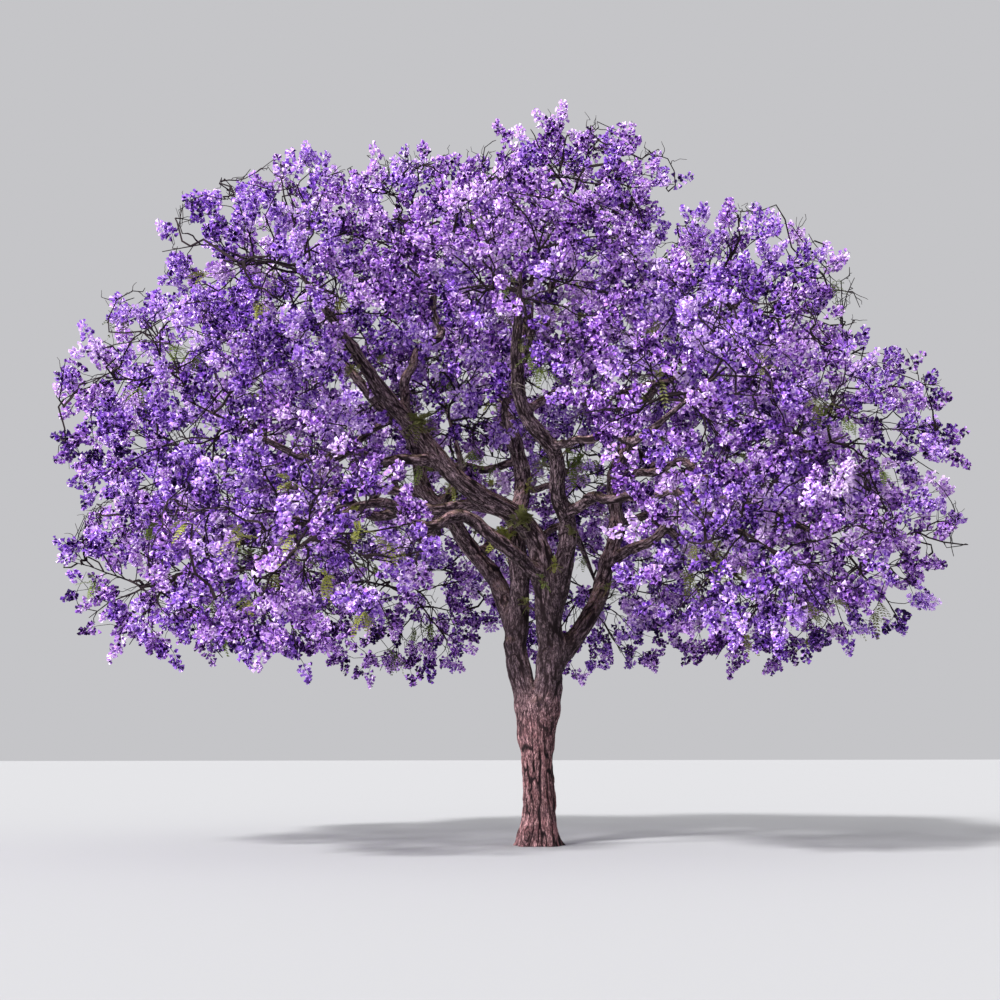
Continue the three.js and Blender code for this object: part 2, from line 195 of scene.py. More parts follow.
# Relief of the bark: furrows, smaller cracks across the plates, and grit. Each has its size across and
# along a trunk of full radius, how wide its cracks are and its share of the height. A thinner limb has
# finer bark.
FURROW = {"wide": 0.058, "long": 0.5, "crack": 0.36, "share": 0.5, "seed": 51}
PLATE = {"wide": 0.03, "long": 0.16, "crack": 0.36, "share": 0.36, "seed": 61}
GRIT = {"wide": 0.011, "long": 0.05, "share": 0.07, "seed": 71}
WARP = {"size": [0.1, 0.1, 0.2], "move": [0.022, 0.022, 0.16], "seeds": (41, 42, 43)}
FINER_POWER, FINEST = 0.45, 0.5
FURROW_DEPTH = 0.075
DEEPEST_FURROW = 0.022
SURFACE_LEVEL = 0.7
FOOT_RINGS, FOOT_RELIEF = 3, 0.2
LUMP = {"size": 0.27, "finer": 0.42, "second": 0.5, "depth": 0.1, "seeds": (31, 32)}
FLUTE = {"wide": 0.2, "long": 1.5, "depth": 0.06, "seed": 33}
KNOTS = {"per_metre": 1.7, "size": 0.12, "smallest": 0.6, "gain": 0.8, "widest": 0.75,
         "height": 0.42, "lowest": 0.5, "seed": 9000}
DIMPLE = {"size": 0.38, "depth": 0.75}
LIMB_SEEDS = 100

# Forks: limbs swell into each other over a fillet, which is a share of the thinner one's radius. There
# they share one relief and one grain, which runs along the parent, and the relief is calmer.
FORK_FILLET = 1.25
FORK_NEAR = {"skin": (5, 0.4), "axis": (6, 0.6)}
FORK_BLEND = (0, 0.7)
FORK_SHARE = (0.45, 0.85)
STEEPEST_FORK = 0.3
MEAN_RELIEF = 0.5
FORK_CALM = 0.25
FORK_SHALLOW = 0.5
# The grain of the finish is stretched along a limb, and shifted from one limb to the next
FORK_GRAIN = 0.24
GRAIN_SHIFT = 7.3

# Clusters, where the panicles of a mass gather: in an outer shell of it, fewer on the side that faces
# the crown's heart, and no two too near each other
FOLIAGE_SEED = 20
HEART = np.array([-0.6, 0.0, 3.2])
SHELL = (0.38, 0.95)
INNER_SHARE = 0.36
OUTWARD = (-0.6, 0.4)
OWN_SLACK = 0.07
CLUSTER_TRIES = 620
CLUSTER_GAP = 0.53
CLUSTER_MARGIN = -0.02
LIMB_CLEARANCE = 0.16

# Twigs: the radius of each kind at its foot and tip, and how crooked it is, as a share of CROOK
CROOK = 0.06
TWIGS = {
    "branch": dict(foot=STALK_RADIUS * 1.2, tip=0.007, crook=0.6),
    "side_branch": dict(foot=STALK_RADIUS * 0.8, tip=0.007, crook=0.6),
    "branchlet": dict(foot=0.009, tip=0.0055, crook=1),
    "bare": dict(foot=0.0105, tip=0.0035, crook=2.4),
    "outer": dict(foot=0.018, tip=0.007, crook=2.1),
    "side": dict(foot=0.009, tip=0.004, crook=2.8),
    "sprout": dict(foot=0.008, tip=0.003, crook=2.2),
    "shoot": dict(foot=0.008, tip=0.004, crook=1),
}
BRANCHLET_GAIN = 0.004
STALK_RADII = (0.0065, 0.002)
RIB_RADII = (0.0035, 0.0015)
KINK = {"share": 0.6, "follow": 0.5, "fade": 0.6}
BRANCH_POINTS, TWIG_POINTS, SHOOT_POINTS = 9, 6, 4
BRANCH_SIDES, TWIG_SIDES = 5, 3
BEND = 0.55
LONGEST_TWIG = 1.3
TIE_STATIONS = np.linspace(0.08, 1, 19)
TIE_CHANCE = 0.5
STRAIGHT_GAIN = 0.7
LEAD_SHARE = 0.9
BARE = {"each": 2, "stations": (0.1, 0.9), "length": (0.4, 1.0), "lead": 0.7, "spread": 0.6,
        "slack": 0.1, "clearance": 0.03, "margin": 0.1}
# Outer twigs come out of a mass at their knees, which are shares of its half sizes, as their reach is
OUTER = {"count": 15, "tries": 90, "stout": 4, "stout_foot": 0.03, "knee": 1.02, "reach": 1.04,
         "turn": (0.4, 0.8), "lift": 0.35, "lowest": -0.3, "apart": 0.95, "margin": 0.2}
SIDES = {"each": 4, "stations": (0.4, 0.92), "length": (0.15, 0.42), "spread": 0.7, "margin": 0.25}
SPROUTS = {"places": 90, "each": (1, 5), "stations": (0.3, 0.95), "sunk": 0.02, "ahead": 0.4,
           "lift": 0.3, "spread": 0.55, "length": (0.25, 0.7)}

# Panicles: how many end a branchlet, where they start, their stalks and size, and how they spread
PANICLES = (2, 3, 3, 4)
PANICLE_STATIONS = (0.55, 0.98)
FOOT_STALK = (0.07, 0.24)
PANICLE_LENGTH = 0.28
PANICLE_VARIES = (0.75, 1.2)
PANICLE_RADIUS = 0.07
PANICLE_LIFT, PANICLE_SAG = 0.35, 0.75
PANICLE_LEAD, PANICLE_OUT = 0.5, 0.7
PANICLE_SPREAD = (0.2, 0.95)
PANICLE_TURN = 2.2
PANICLE_JITTER = 0.3
PANICLE_CLEARANCE = 0.07
FULL_TURN = 6.28

# Flowers of a panicle. How far out and ahead they point, their size and the chance of a bud are pairs
# of the value at its foot and the gain towards its tip. The other pairs are ranges.
FLOWERS = 25
FLOWER = {"lobes": 5, "length": 0.081, "mouth": 0.039}
BUD = {"lobes": 3, "length": 0.045, "mouth": 0.012}
FLOWER_CROWDING = 0.9
FLOWER_OUT = (1.05, -0.85)
FLOWER_OUT_VARIES = (0.15, 1.0)
FLOWER_AHEAD = (0.1, 0.8)
FLOWER_NOD = 0.3
FLOWER_JITTER = 0.32
FLOWER_SIZE = (1.05, -0.25)
FLOWER_VARIES = (0.85, 1.18)
BUD_CHANCE = (0.05, 0.4)
LOBE_TURN = (0, 1.2)
LOBE_WIDE = (0.7, 1.25)
LOBE_LONG = (0.85, 1.1)
FLOWER_MARGIN = 0.24

# Shades of the blossom, counted in steps through the violets below: the middle one, how much each
# bunch, panicle, flower and lobe varies, how much paler it is on top of a mass as painted light, and how
# much deeper a bud is
SHADE = {"middle": 2.2, "bunch": 0.75, "panicle": 0.55, "flower": 0.8, "lobe": 1.1, "top": 0.55,
         "bud": 0.9}
# Patches of the crown that are bluer or pinker, and patches with more leaves
PATCH_SIZE = 1.7
LILAC = {"seed": 77, "jitter": 0.35, "above": 0.05}
LEAFY = {"seed": 78, "fewest": 0.25, "gain": 2.6, "range": (0, 0.5)}

# Leaves, with pairs of leaflets along a rib that droops, and the tufts and bunches that they stand in
LEAF_LENGTH = 0.34
LEAF_PAIRS = 8
LEAF_DROOP = 0.45
LEAF_FALL = 0.9
FIRST_PAIR, LAST_PAIR = 1.2, 0.6
LEAFLET = {"length": 0.095, "width": 0.034, "varies": (0.8, 1.2), "lean": 0.45, "twist": 0.3,
           "taper": (0.08, 0.9)}
LEAF_CHANCE = {"skirt": 0.13, "middle": 0.07, "inner": 0.16, "upper": 0.05, "top": 0.05}
BUNCH = {"leaves": 6, "stations": (0.7, 1.0), "lead": 0.5, "out": 0.5, "spread": 0.7,
         "varies": (0.6, 1.0)}
SHOOT = {"foot": 1.1, "length": 0.12, "spread": 0.7}
TUFT_LEAF = {"stations": (0.4, 1), "lead": 0.5, "spread": 0.7, "lift": 0.3, "varies": (0.7, 1.05)}
TUFT = {"shoots": 6, "leaves": 30, "size": 1.0}
SMALL_TUFT = {"shoots": 3, "leaves": 9, "size": 0.62}
SMALL_TUFTS = {"places": 40, "stations": (0.2, 0.95), "sunk": 0.05, "lift": 0.8, "reach": (0.12, 0.3)}
SHOOT_TONE = 3

UP = np.array([0.0, 0.0, 1.0])
# Directions that no limb and no leaf follows, to turn their cross-sections by, and how much of a
# twig's way is rise where it counts as upright
SLANTED = [0.3, 0.2, 1.0]
ALMOST_UP = UP + 0.02
UPRIGHT = 0.9
GOLDEN_ANGLE = math.pi * (3 - math.sqrt(5))


# Seeded numbers and vectors


def seeded(seed):
    """A repeatable stream of numbers from 0 to 1, the same one that shapes the solids."""
    state = seed & 0xFFFFFFFF

    def draw():
        nonlocal state
        state = (state + 0x6D2B79F5) & 0xFFFFFFFF
        mixed = ((state ^ (state >> 15)) * (state | 1)) & 0xFFFFFFFF
        mixed ^= (mixed + ((mixed ^ (mixed >> 7)) * (mixed | 61) & 0xFFFFFFFF)) & 0xFFFFFFFF
        return (mixed ^ (mixed >> 14)) / 4294967296

    return draw


def unit(v):
    """Vectors brought to length 1."""
    v = np.asarray(v, float)
    return v / np.maximum(np.linalg.norm(v, axis=-1, keepdims=True), 1e-12)


def direction(heading, rise):
    """A unit vector from a heading round +Z and a rise above the level, in degrees."""
    h, r = math.radians(heading), math.radians(rise)
    return np.array([math.cos(h) * math.cos(r), math.sin(h) * math.cos(r), math.sin(r)])


def rows(a, b):
    """Row by row dot products."""
    return np.einsum("...i,...i->...", a, b)


def distances(points):
    """How far along a line each of its points lies."""
    return np.concatenate([[0], np.cumsum(np.linalg.norm(np.diff(points, axis=0), axis=1))])


def gaining(pair, share):
    """A pair's first value plus a share of its second."""
    value, gain = pair
    return value + gain * share


def hashed(cells, seed):
    """A number from 0 to 1 for each whole-numbered cell, scattered by large primes."""
    c = cells.astype(np.int64).astype(np.uint32)
    h = c[..., 0] * np.uint32(374761393) + c[..., 1] * np.uint32(668265263)
    h = h + c[..., 2] * np.uint32(2246822519) + np.uint32(seed * 3266489917 & 0xFFFFFFFF)
    h = (h ^ (h >> np.uint32(13))) * np.uint32(1274126177)
    h = (h ^ (h >> np.uint32(16))) * np.uint32(2654435761)
    return (h ^ (h >> np.uint32(15))).astype(float) / 4294967295


def smooth_noise(points, seed):
    """Smooth noise from -1 to 1 over points whose cells are 1 wide."""
    cell = np.floor(points)
    f = points - cell
    f = f * f * (3 - 2 * f)
    total = 0
    for corner in np.ndindex(2, 2, 2):
        weight = np.prod(np.where(corner, f, 1 - f), axis=-1)
        total = total + weight * hashed(cell + corner, seed)
    return 2 * total - 1


def eased(low, high, value):
    """A smooth step from 0 at low to 1 at high."""
    x = np.clip((value - low) / (high - low), 0, 1)
    return x * x * (3 - 2 * x)


# Paths


class Bezier:
    """A quadratic or cubic curve through its control points."""

    def __init__(self, *controls):
        self.controls = np.array(controls, float)

    def points(self, t):
        t = np.atleast_1d(np.asarray(t, float))[:, None]
        left = 1 - t
        p = self.controls
        if len(p) == 3:
            return left**2 * p[0] + 2 * left * t * p[1] + t**2 * p[2]
        return left**3 * p[0] + 3 * left**2 * t * p[1] + 3 * left * t**2 * p[2] + t**3 * p[3]

    def point(self, t):
        return self.points(t)[0]

    def tangents(self, t):
        t = np.atleast_1d(np.asarray(t, float))
        step = 1e-4
        return unit(self.points(np.minimum(1, t + step)) - self.points(np.maximum(0, t - step)))

    def tangent(self, t):
        return self.tangents(t)[0]


class LimbPath:
    """A limb's course: a cubic curve with a seeded wobble that dies out at both ends."""

    def __init__(self, start, leave, end, arrive, wobble, seed):
        length = np.linalg.norm(end - start)
        chord = unit(end - start)
        self.course = Bezier(start, start + leave * length * LEAVE_HANDLE,
                             end - arrive * length * ARRIVE_HANDLE, end)
        self.side = unit(np.cross(chord, UP))
        self.over = np.cross(self.side, chord)
        self.size = length * wobble
        random = seeded(seed)
        self.phases = [random() for _ in range(4)]

    def points(self, t):
        t = np.atleast_1d(np.asarray(t, float))
        a, b, c, d = self.phases
        fade = (self.size * np.maximum(np.sin(math.pi * t), 0) ** WOBBLE_FADE)[:, None]

        def waves(turns, *phases):
            one, two = [np.sin(2 * math.pi * (n * t + p))[:, None] for n, p in zip(turns, phases)]
            return one + SECOND_WAVE * two

        sway, lift = self.side * waves(SWAY_TURNS, a, b), self.over * waves(LIFT_TURNS, c, d)
        return self.course.points(t) + fade * (sway + lift)

    def point(self, t):
        return self.points(t)[0]

    def tangents(self, t):
        t = np.atleast_1d(np.asarray(t, float))
        step = 0.004
        ways = unit(self.points(np.minimum(1, t + step)) - self.points(np.maximum(0, t - step)))
        ends = (t == 0) | (t == 1)
        if ends.any():
            ways[ends] = self.course.tangents(t[ends])
        return ways

    def tangent(self, t):
        return self.tangents(t)[0]

    def length(self):
        p = self.points(np.linspace(0, 1, COURSE_POINTS))
        return np.linalg.norm(np.diff(p, axis=0), axis=1).sum()


class Limb:
    """A limb as its path with the radius at each station."""

    def __init__(self, path, base, tip, parent=None):
        self.path, self.base, self.tip, self.parent = path, base, tip, parent
        self.stem = None

    def radius(self, t):
        swell = self.base * BASE_SWELL * (1 - t) ** SWELL_FADE
        return self.tip + (self.base - self.tip) * (1 - t) ** TAPER + swell

    def nearest(self, point):
        """The station nearest to a point."""
        t = np.linspace(0, 1, COURSE_POINTS)
        return t[np.linalg.norm(self.path.points(t) - point, axis=1).argmin()]

    def balls(self):
        """Balls along the axis, close enough together to test what passes near."""
        steps = math.ceil(self.path.length() / BALL_STEP)
        t = np.linspace(0, 1, steps + 1)
        return self.path.points(t), self.radius(t) + LIMB_MARGIN


class Trunk(Limb):
    """The trunk: flared into root lobes, fluted, waisted, and swollen again below the fork."""

    def __init__(self):
        end = np.array([TRUNK_LEAN, 0, FORK_HEIGHT])
        path = LimbPath(np.zeros(3), UP, end, direction(**TRUNK_ARRIVES), 0, 1)
        super().__init__(path, TRUNK_RADIUS, TRUNK_RADIUS)

    def radius(self, t, angle=0.0, taper=HEAD_TAPER):
        t = np.asarray(t, float)
        flare = np.exp(-t * FORK_HEIGHT / (FLARE_HEIGHT * FLARE_FALL)) * FLARE_RADIUS
        lobes = 1 + ROOT_LOBES["depth"] * np.cos(ROOT_LOBES["count"] * angle + ROOT_LOBES["turn"])
        flutes = 1 + FLUTES["depth"] * np.cos(FLUTES["count"] * angle + FLUTES["turn"])
        waist = 1 - TRUNK_WAIST * np.sin(math.pi * t) + FORK_SWELL * t**4
        head = 1 - taper * np.maximum(0, (t - HEAD_FROM) / HEAD_LONG) ** 2
        return (TRUNK_RADIUS * waist * flutes + flare * lobes) * head


# The rule that places the masses and grows the limbs


def place_masses():
    """Each mass's centre, half sizes and the direction in which its limb enters."""
    random = seeded(CROWN_SEED)

    def spread(size):
        return (random() * 2 - 1) * size

    masses = {}
    for tier, t in TIERS.items():
        for i in range(t["slots"]):
            heading = t["first"] + 360 * i / t["slots"] + spread(TURN_JITTER)
            out = CROWN_REACH * t["distance"] * (1 + spread(SIZE_JITTER / 2))
            size = 1 + spread(SIZE_JITTER)
            flat = direction(heading, 0)
            height = TREE_HEIGHT * t["height"] + spread(HEIGHT_JITTER)
            x, y = CROWN_SHIFT + out * CROWN_LONG * flat[0], out * CROWN_SHORT * flat[1]
            centre = np.array([x, y, height])
            enter = direction(heading, t["rise"])
            half = np.array([t["spread"], t["spread"], t["depth"]]) * size
            entry = centre - enter * ENTRY_SHARE * np.linalg.norm(half) / math.sqrt(3)
            if i + 1 != t["open"]:
                name = f"{tier}_{i + 1}"
                place = dict(centre=centre, half=half, enter=enter, entry=entry)
                masses[name] = dict(name=name, tier=tier, **place)
    return masses


def grow_limbs(masses):
    """The trunk, the boughs of the table, and a side limb for each mass that a bough carries."""
    limbs = {"trunk": Trunk()}
    for i, b in enumerate(BOUGHS):
        parent, mass = limbs[b["parent"]], masses[b["tip"]]
        start = parent.path.point(b["station"])
        leave = direction(b["heading"], b["rise"])
        path = LimbPath(start, leave, mass["entry"], mass["enter"], BOUGH_WOBBLE, BOUGH_SEED + i)
        mass["limb"] = limbs[b["name"]] = Limb(path, b["radius"], BOUGH_TIP_RADIUS, parent)
    for i, b in enumerate(BOUGHS):
        parent = limbs[b["name"]]
        for k, (target, station) in enumerate(b["carries"].items()):
            mass = masses[target]
            start = parent.path.point(station)
            leave = unit(parent.path.tangent(station) * LIMB_FOLLOW + unit(mass["entry"] - start))
            seed = LIMB_SEED + 10 * i + k
            path = LimbPath(start, leave, mass["entry"], mass["enter"], LIMB_WOBBLE, seed)
            base = parent.radius(station) * LIMB_BASE_SHARE
            mass["limb"] = limbs[f"limb_{target}"] = Limb(path, base, LIMB_TIP_RADIUS, parent)
    return limbs


class Crown:
    """The masses with their limbs, and the branches and sprays that fit in each mass's own space."""

    def __init__(self):
        self.masses = place_masses()
        self.limbs = grow_limbs(self.masses)
        self.centres = np.array([m["centre"] for m in self.masses.values()])
        self.halves = np.array([m["half"] for m in self.masses.values()])
        balls = [limb.balls() for limb in self.limbs.values()]
        self.limb_points = np.concatenate([b[0] for b in balls])
        self.limb_radii = np.concatenate([b[1] for b in balls])
        for i, mass in enumerate(self.masses.values()):
            mass["index"] = i
            mass["sprays"] = self.grow_mass(mass, MASS_SEED + i)

    def is_own(self, mass, points, slack=0.0):
        """True for each point inside the mass's skin and clear of every other mass's share."""
        depth = np.linalg.norm((points[:, None] - self.centres) / self.halves, axis=-1)
        own = depth[:, mass["index"]].copy()
        depth[:, mass["index"]] = np.inf
        clear = depth.min(axis=1) >= own + 2 * SPACE_MARGIN / mass["half"][2] - slack
        return (own <= 1 + slack) & clear

    def clear_of_limbs(self, points, radii):
        """True for each ball that touches no limb."""
        away = np.linalg.norm(points[:, None] - self.limb_points, axis=-1)
        return (away >= radii[:, None] + self.limb_radii).all(axis=1)

    def fit_spray(self, mass, taken, root, d, side):
        """The longest spray that fits a direction, clear of limbs and of sprays that are there."""
        neck, belly = (SIDE_NECK, SIDE_BELLY) if side else (NECK, BELLY)
        for shorter in SHORTER:
            tip = d * mass["half"] * shorter + mass["centre"]
            path = arch(root, tip, STALK_LIFT)
            radius = mass["half"][2] * SPRAY_RADIUS * shorter
            middle = path.point(belly)
            across = path.across * radius
            over = np.cross(across, path.tangent(belly))
            ends = np.array([tip, middle + across, middle - across, middle + over, middle - over])
            t = neck + (1 - neck) * BALLS
            swell = np.where(t < belly, (t - neck) / (belly - neck), (1 - t) / (1 - belly))
            points, radii = path.points(t), STALK_RADIUS + radius * swell
            if not self.is_own(mass, ends).all() or not self.clear_of_limbs(points, radii).all():
                continue
            near = np.linalg.norm(points[:, None] - taken[0], axis=-1)
            if (near < BALL_SHARE * (radii[:, None] + taken[1])).any():
                continue
            taken[0] = np.concatenate([taken[0], points])
            taken[1] = np.concatenate([taken[1], radii])
            return dict(d=d, path=path, side=side)
        return None

    def grow_mass(self, mass, seed):
        """The mass's branches, which fan out from its stem, and the side sprays on them."""
        random = seeded(seed)
        limb = mass["limb"]
        way = limb.path.tangent(1)
        start = limb.path.point(1) + way * SEAT_GAP
        end = mass["centre"] + mass["enter"] * mass["half"][2] * STEM_LONG
        stem = limb.stem = LimbPath(start, way, end, mass["enter"], 0, 1)
        taken = [np.zeros((0, 3)), np.zeros(0)]
        every = SIDE_SPRAYS + 1
        ways = even_directions(BRANCHES * every, random() * SPRAY_TURN)
        low, high = STEM_STATIONS
        branches = []
        for d in ways[1::every]:
            station = low + (high - low) * (0.5 + 0.5 * d @ mass["enter"]) - STATION_JITTER * random()
            made = self.fit_spray(mass, taken, stem.point(station), d, False)
            if made:
                branches.append(made)
        sides = []
        near, far = FORK_STATIONS
        for d in [w for i, w in enumerate(ways) if i % every != 1]:
            branch = max(branches, key=lambda b: b["d"] @ d)
            angle = math.acos(min(1, max(-1, branch["d"] @ d)))
            station = far - (far - near) * min(1, angle / WIDEST_FORK)
            made = self.fit_spray(mass, taken, branch["path"].point(station), d, True)
            if made:
                sides.append(made)
        return branches + sides


def even_directions(count, turn):
    """Even directions over a ball, turned by a seeded angle."""
    made = []
    for i in range(count):
        z = 1 - (2 * i + 1) / count
        flat = math.sqrt(1 - z * z)
        angle = turn + i * GOLDEN_ANGLE
        made.append(np.array([flat * math.cos(angle), flat * math.sin(angle), z]))
    return made


def arch(start, end, lift):
    """A gently arched path between two points."""
    middle = (start + end) / 2 + UP * lift * np.linalg.norm(end - start)
    path = Bezier(start, middle, end)
    path.across = unit(np.cross(end - start, UP))
    return path


# Meshes


def make_piece(name, points, faces, finishes, choice=None, smooth=False, values=None):
    """One joined mesh: faces is an array of triangles or quads, and choice gives each face's finish."""
    mesh = bpy.data.meshes.new(name)
    corners = faces.shape[1]
    mesh.vertices.add(len(points))
    mesh.vertices.foreach_set("co", points.astype(np.float32).ravel())
    mesh.loops.add(faces.size)
    mesh.loops.foreach_set("vertex_index", faces.astype(np.int32).ravel())
    mesh.polygons.add(len(faces))
    mesh.polygons.foreach_set("loop_start", np.arange(len(faces), dtype=np.int32) * corners)
    for finish in finishes:
        mesh.materials.append(finish)
    if choice is not None:
        mesh.polygons.foreach_set("material_index", choice.astype(np.int32))
    mesh.update(calc_edges=True)
    mesh.polygons.foreach_set("use_smooth", np.full(len(faces), smooth))
    for key, value in (values or {}).items():
        kind = "FLOAT_VECTOR" if value.ndim == 2 else "FLOAT"
        made = mesh.attributes.new(key, kind, "POINT")
        field = "vector" if value.ndim == 2 else "value"
        made.data.foreach_set(field, value.astype(np.float32).ravel())
    piece = bpy.data.objects.new(name, mesh)
    bpy.context.scene.collection.objects.link(piece)
    return piece


def ring_faces(rings, sides):
    """The quads between the rings of one tube."""
    ring = np.arange(rings - 1)[:, None] * sides
    side = np.arange(sides)[None]
    after = (side + 1) % sides
    quads = [ring + side, ring + after, ring + sides + after, ring + sides + side]
    return np.stack(quads, axis=-1).reshape(-1, 4)


def triangles(quads):
    """Two triangles for each quad."""
    return np.concatenate([quads[:, [0, 1, 2]], quads[:, [0, 2, 3]]])


def thin_tubes(paths, radii, sides, closed=True):
    """Many tubes of the same number of rings at once: paths is (tubes, rings, 3)."""
    count, rings = paths.shape[:2]
    ways = unit(np.gradient(paths, axis=1))
    chord = unit(paths[:, -1] - paths[:, 0])
    upright = np.abs(chord[:, 2:]) > UPRIGHT
    across = unit(np.cross(chord, np.where(upright, [[1.0, 0, 0]], [[0, 0, 1.0]])))
    side = unit(np.cross(across[:, None], ways))
    over = np.cross(ways, side)
    angle = 2 * math.pi * np.arange(sides) / sides
    circle = side[:, :, None] * np.cos(angle)[:, None] + over[:, :, None] * np.sin(angle)[:, None]
    points = (paths[:, :, None] + circle * radii[:, :, None, None]).reshape(-1, 3)
    first = np.arange(count)[:, None, None] * rings * sides
    faces = [triangles((ring_faces(rings, sides)[None] + first).reshape(-1, 4))]
    if closed:
        fan = np.array([[0, k, k + 1] for k in range(1, sides - 1)])
        faces.append((first + fan[:, ::-1]).reshape(-1, 3))
        faces.append((first + (rings - 1) * sides + fan).reshape(-1, 3))
    return points, np.concatenate(faces)


class Heap:
    """Gathers small meshes of triangles into one."""

    def __init__(self):
        self.points, self.faces, self.choices, self.count = [], [], [], 0

    def add(self, points, faces, choice=0):
        self.points.append(points)
        self.faces.append(faces + self.count)
        self.choices.append(np.broadcast_to(choice, len(faces)))
        self.count += len(points)

    def piece(self, name, finishes):
        points, faces = np.concatenate(self.points), np.concatenate(self.faces)
        return make_piece(name, points, faces, finishes, np.concatenate(self.choices))


# Bark


def warp(points, seed):
    """Points shifted by smooth noise, so that what is drawn over them wavers."""
    shift = [smooth_noise(points / WARP["size"], seed + k) for k in WARP["seeds"]]
    return points + np.stack(shift, axis=-1) * WARP["move"]


def furrowed(cells, seed):
    """The relief of furrowed bark, where cells gives the noise's cells for a kind of crack."""

    def cracked(kind):
        return eased(0, kind["crack"], np.abs(smooth_noise(cells(kind), seed + kind["seed"])))

    grit = 1 + smooth_noise(cells(GRIT), seed + GRIT["seed"])
    return cracked(FURROW) * (FURROW["share"] + PLATE["share"] * cracked(PLATE)) + GRIT["share"] * grit


def fineness(radius):
    """How fine the bark is on a limb of a radius, where 1 is the trunk's own size."""
    return np.clip((radius / TRUNK_RADIUS) ** FINER_POWER, FINEST, 1)


